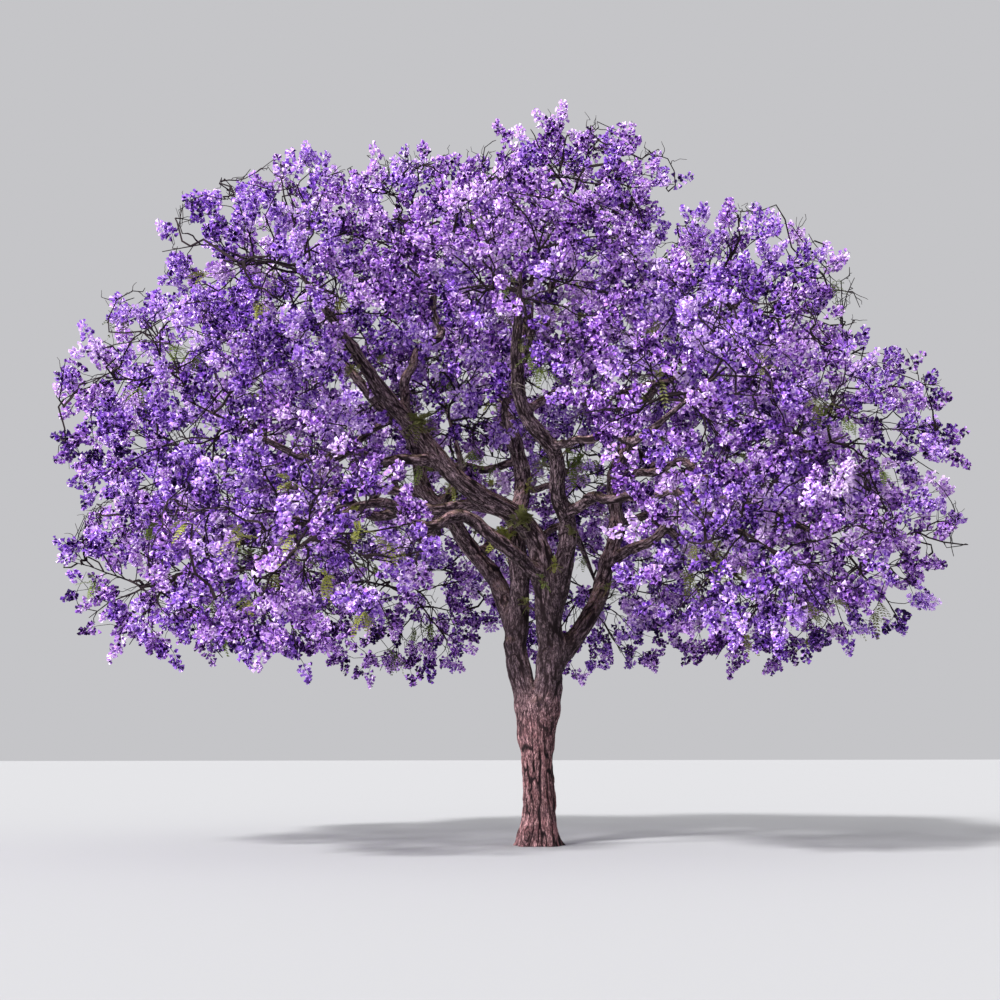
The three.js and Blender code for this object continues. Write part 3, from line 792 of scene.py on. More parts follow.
class Skin:
    """A limb's skin of bark, from its foot sunk in its parent to the end of its stem in its mass."""

    def __init__(self, limb, ring_step, step, seed):
        self.limb, self.seed = limb, seed
        self.axis, self.ways, radius, self.along = self.follow(ring_step)
        self.rings = len(self.axis)
        self.sides = max(FEWEST_SIDES, int(2 * math.pi * radius.mean() / step))
        self.angle = 2 * math.pi * np.arange(self.sides) / self.sides
        self.radius, reach = self.reach(radius)
        cos, sin = np.cos(self.angle)[:, None], np.sin(self.angle)[:, None]
        side, over = self.frames()
        self.circle = side[:, None] * cos + over[:, None] * sin
        self.points = self.axis[:, None] + self.circle * reach[..., None]
        self.wrap = self.radius.mean()
        flat = np.repeat(np.concatenate([cos, sin], axis=-1)[None] * self.wrap, self.rings, axis=0)
        high = np.repeat(self.along[:, None, None], self.sides, axis=1)
        self.place = np.concatenate([flat, high], axis=-1)

    def follow(self, ring_step):
        """Each ring's middle, way and radius along the limb and its stem, and how far along it is."""
        limb, parent = self.limb, self.limb.parent
        t = np.linspace(0, 1, max(FEWEST_RINGS, int(limb.path.length() / ring_step)))
        axis, ways, radius = limb.path.points(t), limb.path.tangents(t), limb.radius(t)
        if limb.stem:
            more = np.linspace(0, 1, max(FEWEST_STEM_RINGS, int(limb.stem.length() / ring_step)))[1:]
            axis = np.concatenate([axis, limb.stem.points(more)])
            ways = np.concatenate([ways, limb.stem.tangents(more)])
            radius = np.concatenate([radius, limb.tip * (1 - (1 - STEM_END) * more)])
        along = distances(axis)
        foot = FOOT_LENGTH * parent.radius(parent.nearest(axis[0]))
        return axis, ways, radius * (FOOT_SHARE + (1 - FOOT_SHARE) * eased(0, foot, along)), along

    def reach(self, radius):
        """The radius of each ring, and how far each corner of it lies from the axis."""
        return radius, np.repeat(radius[:, None], self.sides, axis=1)

    def frames(self):
        """Two directions across the axis at each ring, turned as little as possible."""
        side = np.zeros_like(self.ways)
        held = unit(np.cross(self.ways[0], SLANTED))
        for i, way in enumerate(self.ways):
            held = unit(held - way * (held @ way))
            side[i] = held
        return side, np.cross(self.ways, side)

    def meet(self, others):
        """How far to move each point where limbs meet, so that each fork is one smooth form."""
        flat, n = self.points.reshape(-1, 3), self.circle.reshape(-1, 3)
        move, ways = np.zeros_like(flat), np.zeros_like(flat)
        lifts, touch, sizes = np.zeros(len(flat)), np.zeros(len(flat)), np.zeros(len(flat))
        for other in others:
            child = self if other.limb is self.limb.parent else other
            parent, foot = child.limb.parent, child.axis[0]
            size = min(self.limb.base, other.limb.base)
            fillet = FORK_FILLET * size
            picked, away, out = other.beside(flat, foot, fillet)
            deep = np.clip(-away / fillet, -1, 1)
            lift = np.where(deep > 0, (1 - deep) * (1 + 3 * deep), (1 + deep) ** 2) * fillet / 4
            share = (1 + deep)[:, None] / 2
            aim = n[picked] * (1 - share) + out * share
            aim = aim / np.maximum(rows(aim, aim), STEEPEST_FORK)[:, None]
            move[picked] += aim * (lift**2)[:, None]
            lifts[picked] += lift
            close = 1 - np.abs(deep)
            closest = close > touch[picked]
            spots = picked[closest]
            touch[spots], sizes[spots] = close[closest], size
            ways[spots] = parent.path.tangent(parent.nearest(foot))
        grid = self.points.shape[:2]
        self.blend = eased(*FORK_BLEND, touch).reshape(grid)
        self.shared = eased(*FORK_SHARE, touch).reshape(grid)
        self.fork_size, self.fork_way = sizes.reshape(grid), ways.reshape(self.points.shape)
        return (move / np.maximum(lifts, 1e-9)[:, None]).reshape(self.points.shape)

    def beside(self, points, foot, fillet):
        """The points near a fork's foot, how far each is from this limb, and the way from it."""

        def near(places, kind):
            share, more = FORK_NEAR[kind]
            return np.nonzero(np.linalg.norm(places - foot, axis=1) < share * fillet + more)[0]

        picked, spots = near(points, "skin"), near(self.axis, "axis")
        way = points[picked][:, None] - self.axis[spots][None]
        far = np.linalg.norm(way, axis=-1) - self.radius[spots]
        best = np.arange(len(picked)), far.argmin(axis=1)
        return picked, far[best], unit(way[best])

    def carve(self):
        """Lumps, flutes, knots and furrowed plates, as a lift along the skin."""
        size = self.radius[:, None] + (self.fork_size - self.radius[:, None]) * self.blend
        own = LIMB_SEEDS * self.seed
        first, second = LUMP["seeds"]
        lumps = smooth_noise(self.points / LUMP["size"], first)
        lumps = lumps + LUMP["second"] * smooth_noise(self.points / (LUMP["finer"] * LUMP["size"]), second)
        flute = [FLUTE["wide"], FLUTE["wide"], FLUTE["long"]]
        flutes = smooth_noise(self.place / flute, own + FLUTE["seed"])
        apart = 1 - self.blend
        lift = lumps * LUMP["depth"] * size + (flutes * FLUTE["depth"] * size + self.knots()) * apart
        self.relief = self.own_relief(own)
        near = self.shared > 0
        self.relief[near] += (self.fork_relief(near) - self.relief[near]) * self.shared[near]
        self.relief = self.relief + (MEAN_RELIEF - self.relief) * FORK_CALM * self.blend
        deep = np.minimum(FURROW_DEPTH * size, DEEPEST_FURROW) * (1 - FORK_SHALLOW * self.blend)
        self.lift = lift + (self.relief - SURFACE_LEVEL) * self.settled(deep)

    def own_relief(self, seed):
        """The relief that runs along the limb, drawn on its unrolled skin."""
        fine, warped = fineness(self.wrap), warp(self.place, seed)
        return furrowed(lambda f: warped / (fine * np.array([f["wide"], f["wide"], f["long"]])), seed)

    def fork_relief(self, near):
        """The relief that every limb of a fork shares there, drawn in space along the parent."""
        warped, way = warp(self.points[near], 0), self.fork_way[near]
        far = rows(warped, way)[:, None] * way
        fine = fineness(self.fork_size[near])[:, None]
        return furrowed(lambda f: (warped - far * (1 - f["wide"] / f["long"])) / (fine * f["wide"]), 0)

    def settled(self, deep):
        """The relief's depth, which is the same all along a limb."""
        return deep

    def knots(self):
        """Burls and the scars of lost branches, each a boss with a dimple."""
        random = seeded(KNOTS["seed"] + self.seed)
        lift = np.zeros((self.rings, self.sides))
        for _ in range(int(self.along[-1] * KNOTS["per_metre"])):
            ring = int(random() * self.rings)
            turn, big = random() * 2 * math.pi, KNOTS["smallest"] + KNOTS["gain"] * random()
            r = self.radius[ring]
            size = min(KNOTS["size"] * big, KNOTS["widest"] * r)
            high = KNOTS["height"] * size * (KNOTS["lowest"] + random())
            gap = np.abs(self.angle - turn)
            around = np.minimum(gap, 2 * math.pi - gap) * r
            off = (self.along - self.along[ring])[:, None] ** 2 + around[None] ** 2
            boss = high * np.exp(-off / size**2)
            lift += boss - DIMPLE["depth"] * high * np.exp(-off / (DIMPLE["size"] * size) ** 2)
        return lift

    def normals(self):
        """The skin's outward directions, from its own grid of points."""
        around = np.roll(self.points, -1, axis=1) - np.roll(self.points, 1, axis=1)
        ahead = np.gradient(self.points, axis=0)
        n = unit(np.cross(around, ahead))
        flip = rows(n, self.circle) < 0
        n[flip] *= -1
        return n

    def surface(self):
        """The carved points, ring by ring."""
        return self.points + self.normals() * self.lift[..., None]

    def finished(self):
        """Points, triangles, and what the finish reads at each point."""
        points = self.surface()
        foot = points[0].mean(axis=0)
        tip = points[-1].mean(axis=0) + TIP_BULGE * self.radius[-1] * self.ways[-1]
        side = np.arange(self.sides)
        after = (side + 1) % self.sides
        last, top = self.rings * self.sides, (self.rings - 1) * self.sides
        foot_fan = np.stack([after, side, np.full_like(side, last)], axis=-1)
        tip_fan = np.stack([top + side, top + after, np.full_like(side, last + 1)], axis=-1)
        faces = [triangles(ring_faces(self.rings, self.sides)), foot_fan, tip_fan]
        along = rows(self.points, self.fork_way)[..., None] * self.fork_way
        values = {
            "limb_place": self.place + UP * GRAIN_SHIFT * self.seed,
            "fork_place": self.points - (1 - FORK_GRAIN) * along,
            "relief": self.relief,
            "shared": self.shared,
        }
        for key, value in values.items():
            flat = value.reshape(-1, *value.shape[2:])
            values[key] = np.concatenate([flat, flat[[0, -1]]])
        return np.concatenate([points.reshape(-1, 3), [foot, tip]]), np.concatenate(faces), values


class TrunkSkin(Skin):
    """The trunk's skin, flat at the ground, lobed and fluted, which runs on and closes in the fork."""

    def follow(self, ring_step):
        path = self.limb.path
        self.stations = np.linspace(0, 1, int(path.length() / ring_step))
        axis, ways = path.points(self.stations), path.tangents(self.stations)
        rise = np.arange(1, int(HEAD_RISE / ring_step))[:, None] * ring_step
        self.stations = np.concatenate([self.stations, np.ones(len(rise))])
        axis = np.concatenate([axis, axis[-1] + rise * ways[-1]])
        ways = np.concatenate([ways, np.repeat(ways[-1:], len(rise), axis=0)])
        return axis, ways, self.limb.radius(self.stations), distances(axis)

    def reach(self, radius):
        past = np.maximum(0, 1 - (self.along[-1] - self.along) / (2 * HEAD_RISE))
        lobed = self.limb.radius(self.stations[:, None], self.angle[None], 0)
        lobed = lobed * (1 - HEAD_CLOSE * past**2)[:, None]
        radius = lobed.mean(axis=1)
        rounded = eased(ROUND_FROM, ROUND_TO, self.stations)[:, None]
        return radius, lobed + (radius[:, None] - lobed) * rounded

    def frames(self):
        over = unit(np.cross(self.ways, [0, 1.0, 0]))
        return np.cross(over, self.ways), over

    def settled(self, deep):
        """The relief's depth, which grows from the cut at the ground over a few rings."""
        return deep * np.clip(np.arange(self.rings)[:, None] / FOOT_RINGS, FOOT_RELIEF, 1)

    def surface(self):
        points = super().surface()
        points[0, :, 2] = 0
        points[..., 2] = np.maximum(points[..., 2], 0)
        return points


def are_kin(a, b):
    """True for a limb and its parent, and for two limbs of one parent."""
    return a.parent is b or b.parent is a or a.parent is b.parent


def grow_bark(crown, finish):
    """The bark of the trunk, the boughs and the side limbs, in pieces by kind."""
    skins = {}
    for i, (name, limb) in enumerate(crown.limbs.items()):
        steps = BOUGH_STEPS if name in BOUGH_NAMES else LIMB_STEPS
        skins[name] = TrunkSkin(limb, *TRUNK_STEPS, i + 1) if name == "trunk" else Skin(limb, *steps, i + 1)
    moves = {}
    for name, skin in skins.items():
        kin = [other for other in skins.values() if other is not skin and are_kin(other.limb, skin.limb)]
        moves[name] = skin.meet(kin)
    for name, skin in skins.items():
        skin.points = skin.points + moves[name]
        skin.carve()
    groups = {
        "trunk_bark": ["trunk"],
        "great_bough_bark": BOUGH_NAMES[:1],
        "bough_bark": BOUGH_NAMES[1:],
        "limb_bark": [name for name in skins if name.startswith("limb_")],
    }
    for name, members in groups.items():
        points, faces, values = zip(*[skins[member].finished() for member in members])
        bases = np.cumsum([0] + [len(p) for p in points])
        faces = np.concatenate([f + base for f, base in zip(faces, bases)])
        values = {key: np.concatenate([v[key] for v in values]) for key in values[0]}
        piece = make_piece(name, np.concatenate(points), faces, [finish], smooth=True, values=values)
        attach(piece, "root")
        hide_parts(*members)
    return skins


# Twigs


def curved(starts, middles, ends, rings):
    """Quadratic curves, one for each row of their three control points."""
    t = np.linspace(0, 1, rings)[None, :, None]
    return (1 - t) ** 2 * starts[:, None] + 2 * (1 - t) * t * middles[:, None] + t**2 * ends[:, None]


def bent(starts, leaves, ends, rings=TWIG_POINTS):
    """Curves that leave each start along its own direction and arrive at each end."""
    length = np.linalg.norm(ends - starts, axis=1)[:, None]
    return curved(starts, starts + leaves * length * BEND, ends, rings)


def crooked(paths, size, draw):
    """Bends each path by a seeded zigzag that dies out at both ends."""
    count, rings = paths.shape[:2]
    length = np.linalg.norm(paths[:, -1] - paths[:, 0], axis=1)
    fade = np.sin(math.pi * np.linspace(0, 1, rings)) ** KINK["fade"]
    kink = draw.normal(size=(count, rings, 3))
    kink[:, 1:-1] += KINK["follow"] * (kink[:, 2:] + kink[:, :-2])
    return paths + kink * (size * length)[:, None, None] * KINK["share"] * fade[None, :, None]


def tapered(count, rings, foot, tip):
    """Radii that run evenly from foot to tip on each of several tubes."""
    foot, tip = np.broadcast_to(foot, count)[:, None], np.broadcast_to(tip, count)[:, None]
    return foot + (tip - foot) * np.linspace(0, 1, rings)


def twigs(kind, paths, draw, foot=None, keep=slice(None)):
    """One kind of twig along paths: its crooked paths and its radii, without those that aren't kept."""
    form = TWIGS[kind]
    paths = crooked(paths, CROOK * form["crook"], draw)[keep]
    foot = form["foot"] if foot is None else foot
    return paths, tapered(len(paths), paths.shape[1], foot, form["tip"])


def at_stations(paths, t):
    """Points and tangents at station t of each path."""
    rings = paths.shape[1]
    x = np.clip(t, 0, 1) * (rings - 1)
    i = np.minimum(x.astype(int), rings - 2)
    f = (x - i)[:, None]
    k = np.arange(len(paths))
    a, b = paths[k, i], paths[k, i + 1]
    return a + (b - a) * f, unit(b - a)


def in_reach(points, margin):
    """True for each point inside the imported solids' own box, with a margin for what grows on it."""
    low, high = np.array(CAD_LOW) - margin, np.array(CAD_HIGH) + margin
    return ((points > low) & (points < high)).all(axis=-1)


def place_clusters(crown, draw):
    """Where panicles gather: seeded points in each mass's outer shell, no two too near each other."""
    taken = np.zeros((0, 3))
    inner, outer = SHELL
    for mass in crown.masses.values():
        ways = unit(draw.normal(size=(CLUSTER_TRIES, 3)))
        share = draw.uniform(inner**3, outer**3, CLUSTER_TRIES) ** (1 / 3)
        points = mass["centre"] + ways * mass["half"] * share[:, None]
        facing = eased(*OUTWARD, rows(ways, unit(points - HEART)))
        fits = draw.uniform(size=CLUSTER_TRIES) < INNER_SHARE + (1 - INNER_SHARE) * facing
        fits &= crown.is_own(mass, points, OWN_SLACK) & in_reach(points, CLUSTER_MARGIN)
        fits &= crown.clear_of_limbs(points, np.full(CLUSTER_TRIES, LIMB_CLEARANCE))
        chosen = []
        for point in points[fits]:
            if len(taken) == 0 or ((taken - point) ** 2).sum(axis=1).min() > CLUSTER_GAP**2:
                taken = np.concatenate([taken, point[None]])
                chosen.append(point)
        mass["clusters"] = np.array(chosen)


def tie(mains, ends, draw):
    """Where a twig to each end best leaves a branch: start, the way there, end, and which were tied."""
    number = np.repeat(np.arange(len(mains)), len(TIE_STATIONS))
    spots, leads = at_stations(mains[number], np.tile(TIE_STATIONS, len(mains)))
    way = ends[:, None] - spots
    far = np.linalg.norm(way, axis=-1)
    cost = far * (1 + STRAIGHT_GAIN - STRAIGHT_GAIN * rows(way, leads[None]) / np.maximum(far, 1e-6))
    cost = cost * draw.uniform(1, 1 + TIE_CHANCE, cost.shape)
    nearest = cost.argmin(axis=1)
    keep = far[np.arange(len(nearest)), nearest] < LONGEST_TWIG
    return spots[nearest[keep]], leads[nearest[keep]], ends[keep], keep


def bare_twigs(crown, mass, mains, draw):
    """Crooked twigs without blossom, which stand out between the panicles."""
    count = BARE["each"] * len(mains)
    owner = draw.integers(0, len(mains), count)
    starts, lead = at_stations(mains[owner], draw.uniform(*BARE["stations"], count))
    aim = unit(BARE["lead"] * lead + draw.normal(size=(count, 3)) * BARE["spread"])
    ends = starts + aim * draw.uniform(*BARE["length"], count)[:, None]
    fine = crown.is_own(mass, ends, BARE["slack"]) & in_reach(ends, BARE["margin"])
    fine &= crown.clear_of_limbs(ends, np.full(count, BARE["clearance"]))
    return twigs("bare", bent(starts, unit(lead + aim), ends), draw, keep=fine)


def outer_twigs(crown, mass, mains, draw):
    """Dark crooked twigs that come out through the blossom of a mass and run on over it."""
    way = unit(draw.normal(size=(OUTER["tries"], 3)))
    along = unit(np.cross(way, draw.normal(size=way.shape)) + OUTER["lift"] * UP)
    turned = unit(way + along * draw.uniform(*OUTER["turn"], len(way))[:, None])
    knees = mass["centre"] + way * mass["half"] * OUTER["knee"]
    ends = mass["centre"] + turned * mass["half"] * OUTER["reach"]
    fine = (rows(way, unit(ends - HEART)) > 0) & (way[:, 2] > OUTER["lowest"])
    fine &= in_reach(ends, OUTER["margin"])
    for other in crown.masses.values():
        if other is not mass:
            fine &= np.linalg.norm((ends - other["centre"]) / other["half"], axis=1) > OUTER["apart"]
    knees, ends = knees[fine][: OUTER["count"]], ends[fine][: OUTER["count"]]
    starts, _, knees, tied = tie(mains, knees, draw)
    paths = curved(starts, knees, ends[tied], BRANCH_POINTS)
    stout = np.arange(len(paths)) < OUTER["stout"]
    return twigs("outer", paths, draw, np.where(stout, OUTER["stout_foot"], TWIGS["outer"]["foot"]))


def side_twigs(paths, draw):
    """Short crooked twigs on the sides of the outer ones."""
    owner = np.repeat(np.arange(len(paths)), SIDES["each"])
    feet, along = at_stations(paths[owner], draw.uniform(*SIDES["stations"], len(owner)))
    aim = unit(along + draw.normal(size=feet.shape) * SIDES["spread"])
    tips = feet + aim * draw.uniform(*SIDES["length"], len(owner))[:, None]
    inside = in_reach(tips, SIDES["margin"])
    return twigs("side", bent(feet, unit(along + aim), tips), draw, keep=inside)


def grow_twigs(crown, draw):
    """Branches and twigs of every mass, and the bunches of panicles at the twigs' ends."""
    place_clusters(crown, draw)
    tubes = {"branches": [], "outer": [], "branchlets": [], "bare": []}
    bunches = []
    for mass in crown.masses.values():
        mains = []
        for spray in mass["sprays"]:
            path = spray["path"].points(np.linspace(0, 1, BRANCH_POINTS))[None]
            branch = twigs("side_branch" if spray["side"] else "branch", path, draw)
            tubes["branches"].append(branch)
            mains.append(branch[0][0])
        mains = np.array(mains)
        starts, lead, ends, _ = tie(mains, mass["clusters"], draw)
        length = np.linalg.norm(ends - starts, axis=1)
        leave = unit(LEAD_SHARE * lead + unit(ends - starts))
        foot = TWIGS["branchlet"]["foot"] + BRANCHLET_GAIN * length
        branchlets = twigs("branchlet", bent(starts, leave, ends), draw, foot)
        tubes["branchlets"].append(branchlets)
        patch = eased(*LEAFY["range"], smooth_noise(ends / PATCH_SIZE, LEAFY["seed"]))
        chance = LEAF_CHANCE[mass["tier"]] * (LEAFY["fewest"] + LEAFY["gain"] * patch)
        leafy = draw.uniform(size=len(ends)) < chance
        out = unit((ends - mass["centre"]) / mass["half"])
        bunches.append(dict(mass=mass, paths=branchlets[0], out=out, leafy=leafy))
        tubes["bare"].append(bare_twigs(crown, mass, mains, draw))
        outer = outer_twigs(crown, mass, mains, draw)
        tubes["outer"].append(outer)
        tubes["bare"].append(side_twigs(outer[0], draw))
    return tubes, bunches


def grow_sprouts(skins, draw):
    """Pale thin shoots that grow out of the boughs, a few from each place."""
    starts, ways = [], []
    for _ in range(SPROUTS["places"]):
        skin = skins[BOUGH_NAMES[draw.integers(len(BOUGH_NAMES))]]
        ring = int(draw.uniform(*SPROUTS["stations"]) * skin.rings)
        side = draw.integers(skin.sides)
        out = skin.circle[ring, side]
        for _ in range(draw.integers(*SPROUTS["each"])):
            starts.append(skin.points[ring, side] - out * SPROUTS["sunk"])
            ways.append(unit(out + SPROUTS["ahead"] * skin.ways[ring] + SPROUTS["lift"] * UP))
    starts, ways = np.array(starts), np.array(ways)
    aim = unit(ways + draw.normal(size=ways.shape) * SPROUTS["spread"])
    ends = starts + aim * draw.uniform(*SPROUTS["length"], len(starts))[:, None]
    return twigs("sprout", bent(starts, ways, ends), draw)


def joined(tubes, sides, closed=True):
    """One mesh of all tubes in a list of equal numbers of rings."""
    paths, radii = zip(*tubes)
    return thin_tubes(np.concatenate(paths), np.concatenate(radii), sides, closed)


def join_twigs(tubes, sprouts, stalks, finishes):
    """The crown's branches and its finest twigs, each kind joined in one piece."""
    stalk_radii = tapered(len(stalks), stalks.shape[1], *STALK_RADII)
    branches, fine = Heap(), Heap()
    branches.add(*joined(tubes["branches"], BRANCH_SIDES))
    branches.add(*joined(tubes["outer"], TWIG_SIDES))
    branches.add(*joined(tubes["bare"], TWIG_SIDES))
    branches.add(*thin_tubes(*sprouts, TWIG_SIDES), 1)
    fine.add(*joined(tubes["branchlets"], TWIG_SIDES, False))
    fine.add(*thin_tubes(stalks, stalk_radii, TWIG_SIDES, False))
    for piece in (branches.piece("branches", finishes), fine.piece("twigs", finishes[:1])):
        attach(piece, "root")


# Blossom


def flowers(at, way, form, size, draw):
    """Trumpet flowers: each a funnel from its narrow end to its lobes, with one face to a lobe."""
    count, lobes = len(at), form["lobes"]
    aside = unit(np.cross(way, draw.normal(size=(count, 3))))
    over = np.cross(way, aside)
    angle = 2 * math.pi * np.arange(lobes) / lobes + draw.uniform(*LOBE_TURN, (count, 1))
    wide = (form["mouth"] * size)[:, None] * draw.uniform(*LOBE_WIDE, (count, lobes))
    front = (form["length"] * size)[:, None] * draw.uniform(*LOBE_LONG, (count, lobes))
    middle = at[:, None] + way[:, None] * front[..., None]
    out = aside[:, None] * np.cos(angle)[..., None] + over[:, None] * np.sin(angle)[..., None]
    points = np.concatenate([at[:, None], middle + out * wide[..., None]], axis=1).reshape(-1, 3)
    fan = np.array([[0, 1 + (i + 1) % lobes, 1 + i] for i in range(lobes)])
    faces = (np.arange(count)[:, None, None] * (lobes + 1) + fan[None]).reshape(-1, 3)
    return points, faces


def aim_panicles(bunch, owner, first, lead, draw):
    """Where each panicle points: outwards, and round its branchlet apart from its neighbours."""
    count, many = len(bunch["paths"]), len(owner)
    out = bunch["out"][owner]
    lift = PANICLE_LIFT - PANICLE_SAG * np.clip(-out[:, 2:], 0, 1)
    spread = np.where(first, *PANICLE_SPREAD)[:, None]
    aside = unit(np.cross(out, lead + PANICLE_JITTER * draw.normal(size=(count, 3))[owner]))
    number = np.arange(many) - np.nonzero(first)[0][owner]
    turn = number * PANICLE_TURN + draw.uniform(0, FULL_TURN, count)[owner]
    around = aside * np.cos(turn)[:, None] + np.cross(out, aside) * np.sin(turn)[:, None]
    around = around + PANICLE_JITTER * draw.normal(size=(many, 3))
    return unit(unit(PANICLE_LEAD * lead + PANICLE_OUT * out + lift * UP) + spread * around)


def place_panicles(crown, bunch, draw):
    """A few panicles at the end of each branchlet: their stalks' paths, their aim and their shade."""
    count = len(bunch["paths"])
    owner = np.repeat(np.arange(count), draw.choice(PANICLES, count))
    first = np.concatenate([[True], owner[1:] != owner[:-1]])
    many = len(owner)
    stations = np.where(first, 1.0, draw.uniform(*PANICLE_STATIONS, many))
    starts, lead = at_stations(bunch["paths"][owner], stations)
    aim = aim_panicles(bunch, owner, first, lead, draw)
    stalk = draw.uniform(*FOOT_STALK, many)[:, None]
    feet = starts + unit(PANICLE_LEAD * lead + aim) * stalk
    length = PANICLE_LENGTH * draw.uniform(*PANICLE_VARIES, many)
    ends = feet + aim * length[:, None]
    keep = in_reach(ends, FLOWER_MARGIN) & crown.clear_of_limbs(ends, np.full(many, PANICLE_CLEARANCE))
    keep &= ~bunch["leafy"][owner]
    tone = draw.normal(0, SHADE["bunch"], count)[owner] + draw.normal(0, SHADE["panicle"], many)
    # Painted light: panicles on the top of a mass are paler, those underneath deeper
    tone = tone + SHADE["top"] * bunch["out"][owner][:, 2]
    patch = smooth_noise(ends / PATCH_SIZE, LILAC["seed"])
    lilac = patch + LILAC["jitter"] * draw.normal(size=count)[owner] > LILAC["above"]
    stalks = np.stack([starts, feet, feet + aim * length[:, None] * 0.5, ends], axis=1)
    made = dict(stalks=stalks, feet=feet, aim=aim, length=length, tone=tone, lilac=lilac)
    return {key: value[keep] for key, value in made.items()}


def dress_panicles(made, draw):
    """The flowers and buds of each panicle, which taper to its tip, and the shade of every face."""
    count = len(made["feet"])
    u = ((np.arange(FLOWERS) + 0.5) / FLOWERS) ** FLOWER_CROWDING
    turn = np.arange(FLOWERS) * GOLDEN_ANGLE + draw.uniform(0, FULL_TURN, (count, 1))
    aim = made["aim"][:, None]
    aside = unit(np.cross(made["aim"], draw.normal(size=(count, 3))))
    over = np.cross(made["aim"], aside)
    radial = aside[:, None] * np.cos(turn)[..., None] + over[:, None] * np.sin(turn)[..., None]
    spine = made["feet"][:, None] + aim * (made["length"][:, None] * u)[..., None]
    far = PANICLE_RADIUS * gaining(FLOWER_OUT, u) * draw.uniform(*FLOWER_OUT_VARIES, (count, FLOWERS))
    foot = spine + radial * far[..., None]
    nod = FLOWER_JITTER * draw.normal(size=foot.shape)
    way = unit(radial + gaining(FLOWER_AHEAD, u)[:, None] * aim - FLOWER_NOD * UP + nod)
    bud = draw.uniform(size=far.shape) < gaining(BUD_CHANCE, u**3)
    size = gaining(FLOWER_SIZE, u) * draw.uniform(*FLOWER_VARIES, far.shape)
    shade = made["tone"][:, None] + draw.normal(SHADE["middle"], SHADE["flower"], far.shape)
    shade = shade - SHADE["bud"] * bud
    family = np.broadcast_to(made["lilac"][:, None], far.shape)
    heap = Heap()
    for kind, form in ((~bud, FLOWER), (bud, BUD)):
        points, faces = flowers(foot[kind], way[kind], form, size[kind], draw)
        tone = np.repeat(shade[kind], form["lobes"]) + draw.normal(0, SHADE["lobe"], len(faces))
        tone = np.clip(np.round(tone), 0, len(VIOLETS) - 1).astype(int)
        heap.add(points, faces, tone + len(VIOLETS) * np.repeat(family[kind], form["lobes"]))
    return heap


def part_of(mass):
    """The name of the piece of blossom that a mass belongs to."""
    if mass["tier"] in ("top", "inner"):
        return "blossom_top"
    hand = "right" if mass["centre"][0] > CROWN_SHIFT else "left"
    return f"blossom_{mass['tier']}_{hand}"


def grow_blossom(crown, bunches, finishes, draw):
    """The blossom of the whole crown, in one piece for each part of it, and the panicles' stalks."""
    pieces, stalks = {}, []
    for bunch in bunches:
        pieces.setdefault(part_of(bunch["mass"]), []).append(bunch)
    for name, members in pieces.items():
        made = [place_panicles(crown, bunch, draw) for bunch in members]
        made = {key: np.concatenate([m[key] for m in made]) for key in made[0]}
        stalks.append(made["stalks"])
        piece = dress_panicles(made, draw).piece(name, finishes)
        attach(piece, "root")
        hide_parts(*["blossom_" + bunch["mass"]["name"] for bunch in members])
    return np.concatenate(stalks)


# Leaves


def drooping(at, way, length, share):
    """Points at shares of the way along each leaf's rib, which droops more towards its tip."""
    fall = UP * (LEAF_DROOP * length * share**2)[..., None]
    return at[:, None] + way[:, None] * (length * share)[..., None] - fall


def leaves(at, way, size, draw):
    """Ferny leaves: each a thin drooping rib with pairs of narrow leaflets of two faces."""
    count = len(at)
    length = (LEAF_LENGTH * size)[:, None]
    share = (np.arange(LEAF_PAIRS) + FIRST_PAIR) / (LEAF_PAIRS + LAST_PAIR)
    spine = drooping(at, way, length, share)
    aside = unit(np.cross(way, ALMOST_UP))[:, None]
    lead = unit(way[:, None] - UP * (LEAF_FALL * share[None])[..., None])
    normal = unit(np.cross(aside, lead))
    taper = np.sqrt(np.sin(math.pi * np.clip(gaining(LEAFLET["taper"], share), 0, 1)))
    long = (LEAFLET["length"] * taper)[None] * size[:, None]
    corners = np.array([[0, 1, 2], [0, 2, 3]])
    heap = Heap()
    for hand in (-1, 1):
        twist = LEAFLET["twist"] * normal * draw.uniform(-1, 1, (count, LEAF_PAIRS, 1))
        out = unit(hand * aside + LEAFLET["lean"] * lead + twist)
        wide = LEAFLET["width"] * size[:, None] * draw.uniform(*LEAFLET["varies"], (count, LEAF_PAIRS))
        middle = spine + out * (0.5 * long)[..., None]
        edge = unit(np.cross(out, normal)) * (0.5 * wide)[..., None]
        leaflet = np.stack([spine, middle + edge, spine + out * long[..., None], middle - edge], axis=2)
        first = np.arange(count * LEAF_PAIRS)[:, None, None] * 4
        heap.add(leaflet.reshape(-1, 3), (first + corners[None]).reshape(-1, 3))
    rib = drooping(at, way, length, np.linspace(0, 1, 3))
    heap.add(*thin_tubes(rib, tapered(count, 3, *RIB_RADII), TWIG_SIDES, False))
    return np.concatenate(heap.points), np.concatenate(heap.faces)


